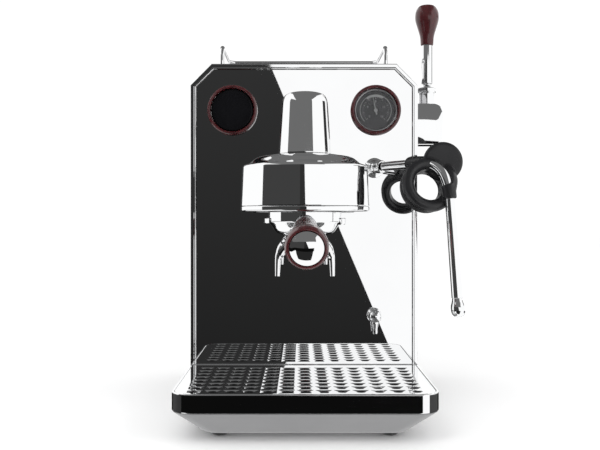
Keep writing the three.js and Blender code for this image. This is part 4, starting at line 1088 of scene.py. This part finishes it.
class EM_OT_portafilter(bpy.types.Operator):
    """Portafilter body, basket, double spout, ferrule, handle and end cap."""
    bl_idname = "espresso.portafilter"
    bl_label = "Portafilter"

    def execute(self, context):
        self.body()
        self.basket()
        self.spout()
        self.handle()
        return {"FINISHED"}

    def body(self):
        """The bowl with its two ears and the boss that the handle screws into."""
        lo, hi = low("portafilter_body"), high("portafilter_body")
        tall = (hi.z - lo.z) / MM
        collar = (low("group_trim_ring").z - lo.z) / MM - 0.3
        spot = Vector((GROUP.x, GROUP.y, lo.z))
        bowl = [(4, 0), (22, 0, 3), (29.8, 2.8, 3), (33.6, 9, 2), (37.0, collar - 10.6, 1),
                (37.4, collar - 9.8, 0.6), (37.4, collar, 0.5), (36.5, collar + 0.1), (36.5, tall, 0.5),
                (29.9, tall, 0.5), (29.9, 6.8, 2), (25.8, 4.1, 1), (4, 4.1)]
        shape = turn_into(bmesh.new(), in_mm(bowl), axes_matrix(spot, (0, 0, 1)))
        self.ears(shape, spot, collar)
        boss = Vector((GROUP.x, GROUP.y - HANDLE_ROOT + 0.0003, 0))
        boss.z = self.axis_height(boss.y) - 0.0002
        turn_into(shape, in_mm([(0, -9), (9.6, -9), (9.8, 4.2, 1), (8.8, 6.0, 0.8), (0, 6.0)]),
                  axes_matrix(boss, self.axis()), SMALL_ROUND)
        finished("portafilter", mesh_of(shape, "portafilter"), "chrome", "portafilter",
                 ["portafilter_body"])

    def ears(self, shape, spot, collar):
        """Two locking ears, each thinning towards its leading end as a ramp."""
        steps = 20
        half_angle = 24
        root = 0.0352  # inside the bowl's wall
        edge = 0.0006
        high_z = (collar - 6.4) * MM
        for side in (0, pi):
            rings = []
            for k in range(steps + 1):
                angle = side + radians(half_angle * (2 * k / steps - 1))
                ease = sin(pi * k / steps) ** 0.35
                reach = 0.0355 + 0.0063 * ease
                low_z = (collar - 13.6) * MM + edge * (1 - ease) + 0.0022 * k / steps
                corners = [(root, low_z), (reach - 0.0005, low_z), (reach, low_z + edge),
                           (reach, high_z - edge), (reach - edge, high_z), (root, high_z)]
                rings.append([shape.verts.new(spot + Vector((r * cos(angle), r * sin(angle), z)))
                              for r, z in corners])
            for first, second in zip(rings, rings[1:]):
                for k in range(len(first)):
                    n = (k + 1) % len(first)
                    shape.faces.new((first[k], first[n], second[n], second[k]))
            shape.faces.new(rings[0])
            shape.faces.new(rings[-1][::-1])

    def basket(self):
        """The filter basket, a thin cup that hangs on its rim."""
        lo, hi = low("filter_basket"), high("filter_basket")
        tall = (hi.z - lo.z) / MM
        spot = Vector((GROUP.x, GROUP.y, lo.z))
        points = [(0, 0), (27.6, 0, 1.5), (29.1, 3, 1), (29.1, tall - 1.1, 0.2), (33.1, tall - 1.0, 0.2),
                  (33.1, tall, 0.3), (28.2, tall, 0.8), (28.2, 3.2, 1), (27, 0.9, 1), (0, 0.9)]
        turned_piece("basket", points, spot, "steel", "portafilter", "filter_basket")

    def spout(self):
        """Two horn-shaped channels from one stub."""
        lo, hi = low("double_spout"), high("double_spout")
        reach = 0.0287  # from the middle to the outside of an arm
        stub = [(0, -15.4), (5.4, -14.8, 2), (8.8, -9, 3), (8.9, 0, 0.4), (0, 0)]
        radii = [0.0084, 0.0083, 0.0078, 0.0066, 0.0048, 0.0031, 0.0024]
        spot = Vector((GROUP.x, GROUP.y, hi.z))
        shape = turn_into(bmesh.new(), in_mm(stub), axes_matrix(spot, (0, 0, 1)), MIDDLE_ROUND, 6)
        for side in (-1, 1):
            arch = [(0, 0, hi.z - 0.0088), (0.0075, -0.0005, hi.z - 0.0098), (0.0150, -0.0016, hi.z - 0.0129),
                    (0.0215, -0.0028, hi.z - 0.0178), (0.0252, -0.0038, hi.z - 0.0238),
                    (reach - 0.0015, -0.0046, hi.z - 0.0290), (reach - 0.0008, -0.005, lo.z + 0.0002)]
            points = [Vector((GROUP.x + side * x, GROUP.y + y, z)) for x, y, z in arch]
            shape.from_mesh(sweep("arm", points, radii, 32, 8))
        finished("spout", mesh_of(shape, "spout"), "chrome", "portafilter", ["double_spout"])

    @staticmethod
    def axis():
        """The handle's direction, away from the bowl."""
        return Vector((0, -cos(HANDLE_TURN), -sin(HANDLE_TURN)))

    @staticmethod
    def axis_height(y):
        """Height of the handle's axis at a depth, from the grip's end."""
        cap = middle("handle_cap")
        return cap.z + (y - cap.y) * sin(HANDLE_TURN) / cos(HANDLE_TURN)

    def handle(self):
        """Ferrule, wooden grip and polished end cap; heights are from the bowl's wall along the axis."""
        start = Vector((GROUP.x, GROUP.y - HANDLE_ROOT, 0))
        start.z = self.axis_height(start.y)
        axis = self.axis()
        ferrule = [(0, 6.9), (9.9, 6.9, 0.4), (11.4, 8.8, 1.2), (11.5, 18.6, 1), (11.0, 20.7, 0.4), (0, 20.7)]
        turned_piece("ferrule", ferrule, start, "chrome", "portafilter", "handle_ferrule", axis, MIDDLE_ROUND)
        grip = [(0, 21.2), (10.6, 21.2, 0.6), (11.5, 33, 8), (13.1, 61, 18), (15.8, 103, 18), (18.3, 129, 10),
                (18.2, 139.5, 4), (16.6, 143.6, 2.2), (14.7, 144.0, 0.5), (14.5, 136.2), (0, 136.2)]
        turned_piece("handle", grip, start, "wood_handle", "portafilter", "handle_grip", axis, steps=8)
        cap = [(0, 136.5), (14.15, 136.5), (14.15, 143.6, 0.4)]
        top, rim = 147.85, 13.6  # the polished face's height and its radius seen from the end
        ball = 25.0  # the radius it is domed to
        rings = 16
        for k in range(rings + 1):
            radius = rim * (1 - k / rings)
            cap.append((radius, top - ball + sqrt(ball ** 2 - radius ** 2)))
        turned_piece("end_cap", cap, start, "chrome", "portafilter", "handle_cap", axis, steps=8)


# ---- Steam wand and hot water -------------------------------------------------------------
class EM_OT_wand(bpy.types.Operator):
    """Flange, ball joint, nut, bent tube, tip and rubber grip."""
    bl_idname = "espresso.wand"
    bl_label = "Steam wand"

    def execute(self, context):
        ball = middle("wand_ball")
        flange = Vector((ball.x, high("wand_flange").y, ball.z))
        points = [(0, 0), (11.3, 0, 0), (11.4, 2.4, 0.8), (9.6, 3.6, 1.2), (8.4, 4.4, 1.0), (8.0, 6.4, 0.8),
                  (6.6, 7.6, 0.6), (0, 7.6)]
        turned_piece("flange", points, flange, "chrome", "machine", "wand_flange", FRONT, MIDDLE_ROUND)
        radius = 6.95
        globe = [(0, -radius), *ball_profile(radius, -84, 90), (0, radius)]
        turned_piece("ball", globe, ball, "chrome", "wand_joint", "wand_ball", FRONT, SMALL_ROUND)
        path = self.path(ball)
        self.tube(path, ball)
        self.tip(path)
        self.grip(path)
        return {"FINISHED"}

    @staticmethod
    def path(ball):
        """The tube's centre line from the ball to the tip."""
        tip_top = (high("wand_tip").z - BASE_Z) / MM - 0.2
        x, y, z = ((ball.x - CENTRE_X) / MM, (ball.y - PANEL_Y) / MM, (ball.z - BASE_Z) / MM)
        return [place(x + 4, y - 5, z), place(x + 22, y - 38, z), place(x + 46, y - 75, z - 1),
                place(x + 58, y - 88, z - 9), place(x + 64.5, y - 93, z - 26), place(x + 67, y - 95, z - 52),
                place(x + 72.3, y - 100, tip_top)]

    def tube(self, path, ball):
        """The tube, a little wider towards its tip, with the nut on the ball."""
        heading = (path[1] - path[0]).normalized()
        points = [path[0] + heading * 0.0012, *path[1:]]
        radii = [0.0049, 0.0049, 0.0049, 0.0049, 0.005, 0.0052, 0.0057]
        shape = bmesh.new()
        shape.from_mesh(sweep("tube", points, radii, 40, 16))
        nut = [(5, 3), (7.2, 3, 0.5), (7.2, 9.6, 0.6), (6.0, 11.0, 0.5), (5, 11.0)]
        turn_into(shape, in_mm(nut), axes_matrix(ball + heading * 0.0022, heading), SMALL_ROUND, 4)
        finished("wand_tube_smooth", mesh_of(shape, "wand_tube_smooth"), "chrome", "wand",
                 ["wand_tube"])

    def tip(self, path):
        """The steam tip, with a shallow hole in its end."""
        heading = (path[-1] - path[-2]).normalized()
        points = [(0, 0.2), (5.2, 0.2, 0.3), (5.6, 3.2, 1.4), (7.3, 8.5, 3.5), (7.2, 14.5, 3),
                  (4.6, 18.6, 2.5), (1.2, 19.4, 0.4), (0.9, 18.6), (0, 18.6)]
        turned_piece("tip", points, path[-1], "chrome", "wand", "wand_tip", heading, SMALL_ROUND, 6)

    def grip(self, path):
        """Spool, paddle, neck and two sleeves blended into one smooth rubber moulding."""
        x, y, z = [(a - b) / MM for a, b in zip(middle("wand_ball"), (CENTRE_X, PANEL_Y, BASE_Z))]
        spot = place(x + 44.5, y - 78, z - 25)
        axis = Vector((0.24, -0.93, 0.27)).normalized()
        spool = [(15.8, -7, 3), (18.6, -10.5, 3), (23.6, -10.5, 3), (26.4, -7.6, 3), (26.2, -4.6, 2),
                 (23.2, -2.2, 2), (23.4, 0, 2), (27, 2.2, 3), (28.8, 6, 4), (28.2, 10.6, 4), (24.8, 13.2, 4),
                 (20.4, 13.2, 4), (16.2, 9, 4)]
        shape = turn_into(bmesh.new(), in_mm(spool), axes_matrix(spot, axis))
        disc = [(0, 0.2), (18, 0.2, 1), (20.6, 1.8, 1.6), (20.6, 5.4, 1.6), (18.6, 6.8, 1.4), (0, 6.6)]
        turn_into(shape, in_mm(disc), axes_matrix(place(x + 62, y - 73, z + 1), FRONT), 72)
        along = [point for point, radius in smooth_path(path, [0] * len(path), 8)]
        for sleeve, radius in ((along[11:16:2], 0.0079), (along[31:38:2], 0.0072)):
            shape.from_mesh(sweep("sleeve", sleeve, [radius] * len(sleeve), 24, 6))
        neck = [place(x + 66, y - 76, z - 8), place(x + 68, y - 86, z - 18), along[34]]
        shape.from_mesh(sweep("neck", neck, [0.007, 0.0075, 0.0070], 24, 6))
        draft = bpy.data.objects.new("draft", mesh_of(shape, "draft"))
        bpy.context.scene.collection.objects.link(draft)
        remesh = draft.modifiers.new("remesh", "REMESH")
        remesh.mode = "VOXEL"
        remesh.voxel_size = 0.0008
        soften = draft.modifiers.new("soften", "SMOOTH")
        soften.factor = 0.5
        soften.iterations = 12
        apply_modifiers(draft)
        mesh = draft.data
        mesh.materials.clear()
        bpy.data.objects.remove(draft)
        finished("grip", mesh, "rubber", "wand", ["wand_grip"])
        for polygon in mesh.polygons:
            polygon.use_smooth = True


class EM_OT_water(bpy.types.Operator):
    """The hot water outlet: flange, ball and short spout."""
    bl_idname = "espresso.water"
    bl_label = "Hot water outlet"

    def execute(self, context):
        spot = middle("water_flange")
        spot.y = high("water_flange").y
        points = [(0, 0), (8.5, 0, 0), (8.5, 1.8, 0.8), (6.6, 3.4, 1), (5.6, 4.6, 0.4), (0, 4.6)]
        turned_piece("outlet_flange", points, spot, "chrome", "machine", "water_flange", FRONT, MIDDLE_ROUND)
        centre = middle("water_spout")
        centre.z = high("water_spout").z - 0.0076
        spout = [(0, -19.9), (2.0, -19.9, 0.3), (2.7, -19.4, 0.5), (2.9, -14, 2), (4.0, -8.2, 2), (3.9, -6.4)]
        radius = 7.5
        outline = spout + ball_profile(radius, -56, 88) + [(0, radius)]
        turned_piece("outlet_spout", outline, centre, "chrome", "hot_water_spout", "water_spout",
                     sides=MIDDLE_ROUND)
        return {"FINISHED"}


# ---- Steam valve --------------------------------------------------------------------------
class EM_OT_steam_valve(bpy.types.Operator):
    """Side housing, lever hub, lever and its wooden knob."""
    bl_idname = "espresso.steam_valve"
    bl_label = "Steam valve"

    def execute(self, context):
        self.housing()
        base = middle("lever_hub")
        base.z = low("lever_hub").z
        hub = [(3.4, 0), (9.3, 0, 0.4), (9.4, 17.6, 1.2), (11.3, 18.8, 0.7), (11.4, 23.4, 0.9),
               (10.6, 24, 0.3), (8.1, 24, 0.3), (8.0, 18.0, 3), (6.0, 13.6, 3), (3.4, 12.4)]
        turned_piece("hub", hub, base, "chrome", "machine", "lever_hub", sides=72)
        pivot = middle("lever_rod")
        pivot.z = low("lever_rod").z + 0.0075
        radius = 7.4
        top = (high("lever_rod").z - pivot.z) / MM - 0.1
        rod = [(0, -radius), *ball_profile(radius, -84, 48), (4.5, 6.1, 0.6), (4.5, 7.6, 0.4),
               (6.9, 7.9, 0.8), (6.9, top, 0.3), (0, top)]
        turned_piece("lever", rod, pivot, "chrome", "lever", "lever_rod", sides=72)
        spot = Vector((pivot.x, pivot.y, low("lever_knob").z))
        knob = [(0, 0.1), (7.2, 0.1, 0.4), (7.7, 1.0, 0.6), (8.2, 11, 8), (11.8, 22.5, 9), (14.6, 31.6, 9),
                (13.8, 41.5, 8.5), (9.6, 47.9, 6.5), (4, 48.9, 4), (0, 48.95)]
        turned_piece("knob", knob, spot, "wood", "lever", "lever_knob", steps=8)
        softened("steam_valve_body", "steel", 0)
        softened("steam_valve_stem", "steel", 0)
        return {"FINISHED"}

    def housing(self):
        """A drafted cover on the casing's side with a rounded outer top edge."""
        lo, hi = low("steam_valve_housing"), high("steam_valve_housing")
        y0, y1 = lo.y, hi.y
        draft, foot, narrower = 0.002, 0.003, 0.004

        def face(inset, y):
            corner = max(0.012 - inset, 0.002)
            x1, z0, z1 = hi.x - inset - narrower, lo.z + inset, hi.z - inset
            outline = [(lo.x, z0)] + arc(x1 - draft - foot, z0 + foot, foot, 270, 360, 6)
            outline += arc(x1 - corner, z1 - corner, corner, 0, 90, 16) + [(lo.x, z1)]
            return [Vector((x, y, z)) for x, z in outline]

        loops = [face(0.0022, y0), face(0.0006, y0 + 0.0006), face(0, y0 + 0.0022), face(0, y1 - 0.0022),
                 face(0.0006, y1 - 0.0006), face(0.0022, y1)]
        mesh = ring_loft("housing", loops)
        finished("housing", mesh, "chrome", "machine", ["steam_valve_housing"])


# ---- Tank and what is inside --------------------------------------------------------------
class EM_OT_inside(bpy.types.Operator):
    """Water tank, lid and the working parts behind the panel."""
    bl_idname = "espresso.inside"
    bl_label = "Tank and inside"

    def execute(self, context):
        softened("water_tank", "tank_plastic", 0.0006)
        softened("tank_lid", "steel_across", 0.0006)
        softened("brew_thermoblock", "aluminium", 0.001)
        softened("steam_thermoblock", "aluminium", 0.001)
        softened("pump", "plastic", 0.0008)
        softened("solenoid_valve", "plastic", 0.0008)
        softened("control_board", "board", 0.0002)
        softened("power_inlet", "plastic", 0.0006)
        self.pins()
        return {"FINISHED"}

    def pins(self):
        """Three blades inside the power inlet."""
        shape = bmesh.new()
        centre = middle("power_inlet")
        back = high("power_inlet").y - 0.0138
        wide, long, tall = 0.002, 0.010, 0.004
        size = Matrix.Diagonal((wide, long, tall, 1))
        for dx, dz in ((-0.007, -0.003), (0.007, -0.003), (0, 0.003)):
            made = bmesh.ops.create_cube(shape, size=1)["verts"]
            move = Matrix.Translation((centre.x + dx, back + long / 2, centre.z + dz))
            bmesh.ops.transform(shape, verts=made, matrix=move @ size)
        mesh = mesh_of(shape, "inlet_pins")
        bevelled(finished("inlet_pins", mesh, "steel", "machine", smooth=False), 0.0004, 2)


# ---- Stage --------------------------------------------------------------------------------
def glow(name, low_strength, high_strength, z0, z1):
    """A surface that only glows, its strength going from one height to another."""
    material = bpy.data.materials.new(name)
    material.use_nodes = True
    nodes, links = material.node_tree.nodes, material.node_tree.links
    nodes.clear()
    out = nodes.new("ShaderNodeOutputMaterial")
    emission = nodes.new("ShaderNodeEmission")
    where = nodes.new("ShaderNodeTexCoord")
    split = nodes.new("ShaderNodeSeparateXYZ")
    rise = add(nodes, "ShaderNodeMapRange", From_Min=z0, From_Max=z1, To_Min=low_strength,
               To_Max=high_strength)
    links.new(where.outputs["Object"], split.inputs["Vector"])
    links.new(split.outputs["Z"], rise.inputs["Value"])
    links.new(rise.outputs["Result"], emission.inputs["Strength"])
    links.new(emission.outputs["Emission"], out.inputs["Surface"])
    return material


def card(name, corners, strength, top_strength=None):
    """A studio card that shows only in reflections, even or graded from its foot to its top."""
    heights = [corner[2] for corner in corners]
    mesh = bpy.data.meshes.new(name)
    mesh.from_pydata([tuple(corner) for corner in corners], [], [tuple(range(len(corners)))])
    mesh.materials.append(glow(name, strength, top_strength or strength, min(heights), max(heights)))
    panel = bpy.data.objects.new(name, mesh)
    bpy.context.scene.collection.objects.link(panel)
    panel.visible_camera = False
    panel.visible_diffuse = False
    panel.visible_shadow = False
    panel.visible_transmission = False
    return panel


class EM_OT_stage(bpy.types.Operator):
    """Camera, floor, cards and lights."""
    bl_idname = "espresso.stage"
    bl_label = "Stage"

    def execute(self, context):
        scene = context.scene
        scene.view_settings.view_transform = "Standard"
        camera = bpy.data.objects.new("camera", bpy.data.cameras.new("camera"))
        scene.collection.objects.link(camera)
        camera.data.lens = 50
        camera.data.sensor_width = 36
        camera.data.shift_x = 0.004
        camera.data.shift_y = -0.0133
        camera.data.clip_end = 50
        camera.location = place(-7.4, -949, 212.6)
        camera.rotation_euler = (pi / 2, 0, 0)
        scene.camera = camera
        self.floor()
        self.cards(camera.location)
        self.lights()
        return {"FINISHED"}

    def floor(self):
        """A wide white floor that chrome doesn't show."""
        mesh = bpy.data.meshes.new("floor")
        size = 9.0
        corners = [(-size, -size, 0), (size, -size, 0), (size, size, 0), (-size, size, 0)]
        mesh.from_pydata(corners, [], [(0, 1, 2, 3)])
        material = bpy.data.materials.new("floor")
        material.use_nodes = True
        shader = material.node_tree.nodes["Principled BSDF"]
        shader.inputs["Base Color"].default_value = (0.98, 0.98, 0.98, 1)
        shader.inputs["Roughness"].default_value = 0.9
        mesh.materials.append(material)
        floor = bpy.data.objects.new("floor", mesh)
        bpy.context.scene.collection.objects.link(floor)
        floor.visible_glossy = False

    def cards(self, eye):
        """Dark and grey cards far off round the machine, which chrome reflects as bands."""
        far = 8.0
        front = PANEL_Y - far
        right = 5.74  # where the grey wall ends in front
        sky, pit = 5, -3.4  # top of the grey wall and foot of the dark one
        side = -1.37  # where the side cards end
        split = -1.25  # further left, only the turned pieces show the dark wall
        dark, grey = 0.05, 0.155  # strengths

        def seen(x, z):
            """Where the panel's mirror shows the card behind the camera."""
            spot = place(x, 0, z)
            share = far / (PANEL_Y - eye.y)
            return Vector((spot.x + (spot.x - eye.x) * share, front, spot.z + (spot.z - eye.z) * share))

        upper, lower = seen(-36.6, 381.2), seen(95.0, 69.7)
        step = (lower - upper) / (upper.z - lower.z)
        top = upper - step * 0.09
        bottom = lower + step * 0.32
        rim = [Vector((right, front, 2.2)), top, Vector((-far, front, 2.32)), Vector((-far, side, 1.74))]
        corner = rim[1].lerp(rim[2], (top.x - split) / (top.x + far))
        card("dark_front", [rim[1], bottom, (split, front, bottom.z), corner], 0.016, 0.032)
        card("dark_left", [corner, (split, front, bottom.z), (-far, front, bottom.z), rim[2]], dark)
        card("dark_side", [(-far, front, bottom.z), (-far, side, bottom.z), rim[3], rim[2]], dark)
        card("grey_right", [rim[0], rim[1], (top.x, front, sky), (right, front, sky)], grey)
        card("grey_left", [rim[1], rim[2], (-far, front, sky), (top.x, front, sky)], grey)
        card("grey_side", [rim[2], rim[3], (-far, side, sky), (-far, front, sky)], grey)
        card("grey_over", [(-far, front, sky), (right, front, sky), (2.06, 2.2, 3), (-1.56, 1.0, 3)], grey)
        card("grey_back", [(2.06, 2.2, 3), (0.4, 10, 3), (-0.3, 8, 3), (-1.56, 1.0, 3)], grey)
        under = [(-7.4, front, pit), (3.7, front, pit), (1.0, -2.3, pit), (-2.1, -2.3, pit)]
        card("dark_under", under, 0.02)
        card("dark_right", [(far, 1.3, 1.6), (far, 4.7, 1.6), (far, 4.7, 3), (far, 1.3, 3)], 0.03)
        plan = [(4.25, front), (-far, front), (-far, far), (far, far), (far, 0.7)]
        for k, (start, end) in enumerate(zip(plan, plan[1:])):
            card(f"dark_low_{k}", [(*start, bottom.z), (*end, bottom.z), (*end, pit), (*start, pit)], 0.004)

    def lights(self):
        """A white surround and two soft lamps that chrome doesn't show."""
        world = bpy.data.worlds.new("studio")
        bpy.context.scene.world = world
        world.use_nodes = True
        background = world.node_tree.nodes["Background"]
        background.inputs["Color"].default_value = (1, 1, 1, 1)
        background.inputs["Strength"].default_value = 1.06
        target = Vector((0, 0, 0.2))
        lamps = (("key", (-1.2, -1.4, 1.9), 1.2, 14), ("fill", (1.5, -1.0, 1.4), 1.0, 7))
        for name, spot, size, power in lamps:
            lamp = bpy.data.lights.new(name, "AREA")
            lamp.size = size
            lamp.energy = power
            light = bpy.data.objects.new(name, lamp)
            light.location = spot
            light.rotation_euler = (target - Vector(spot)).to_track_quat("-Z", "Y").to_euler()
            light.visible_glossy = False
            bpy.context.scene.collection.objects.link(light)


class EM_PT_panel(bpy.types.Panel):
    """Sizes, colours and one button for each group of pieces."""
    bl_idname = "EM_PT_panel"
    bl_label = "Espresso machine"
    bl_space_type = "VIEW_3D"
    bl_region_type = "UI"
    bl_category = "Espresso"

    def draw(self, context):
        for group in (context.scene.espresso_sizes, context.scene.espresso_colours):
            for name in group.bl_rna.properties.keys():
                if name not in ("rna_type", "name"):
                    self.layout.prop(group, name)
        for operator in OPERATORS:
            self.layout.operator(operator.bl_idname)


OPERATORS = (EM_OT_stage, EM_OT_casing, EM_OT_base, EM_OT_tray, EM_OT_dials, EM_OT_group, EM_OT_portafilter,
             EM_OT_wand, EM_OT_water, EM_OT_steam_valve, EM_OT_inside)
CLASSES = (MachineSizes, MachineColours, *OPERATORS, EM_PT_panel)


def register():
    for cls in CLASSES:
        bpy.utils.register_class(cls)
    bpy.types.Scene.espresso_sizes = PointerProperty(type=MachineSizes)
    bpy.types.Scene.espresso_colours = PointerProperty(type=MachineColours)


def unregister():
    del bpy.types.Scene.espresso_colours
    del bpy.types.Scene.espresso_sizes
    for cls in reversed(CLASSES):
        bpy.utils.unregister_class(cls)


def main():
    """Builds everything, in order."""
    register()
    make_materials()
    for operator in OPERATORS:
        group, name = operator.bl_idname.split(".")
        getattr(getattr(bpy.ops, group), name)()


if __name__ == "__main__":
    main()
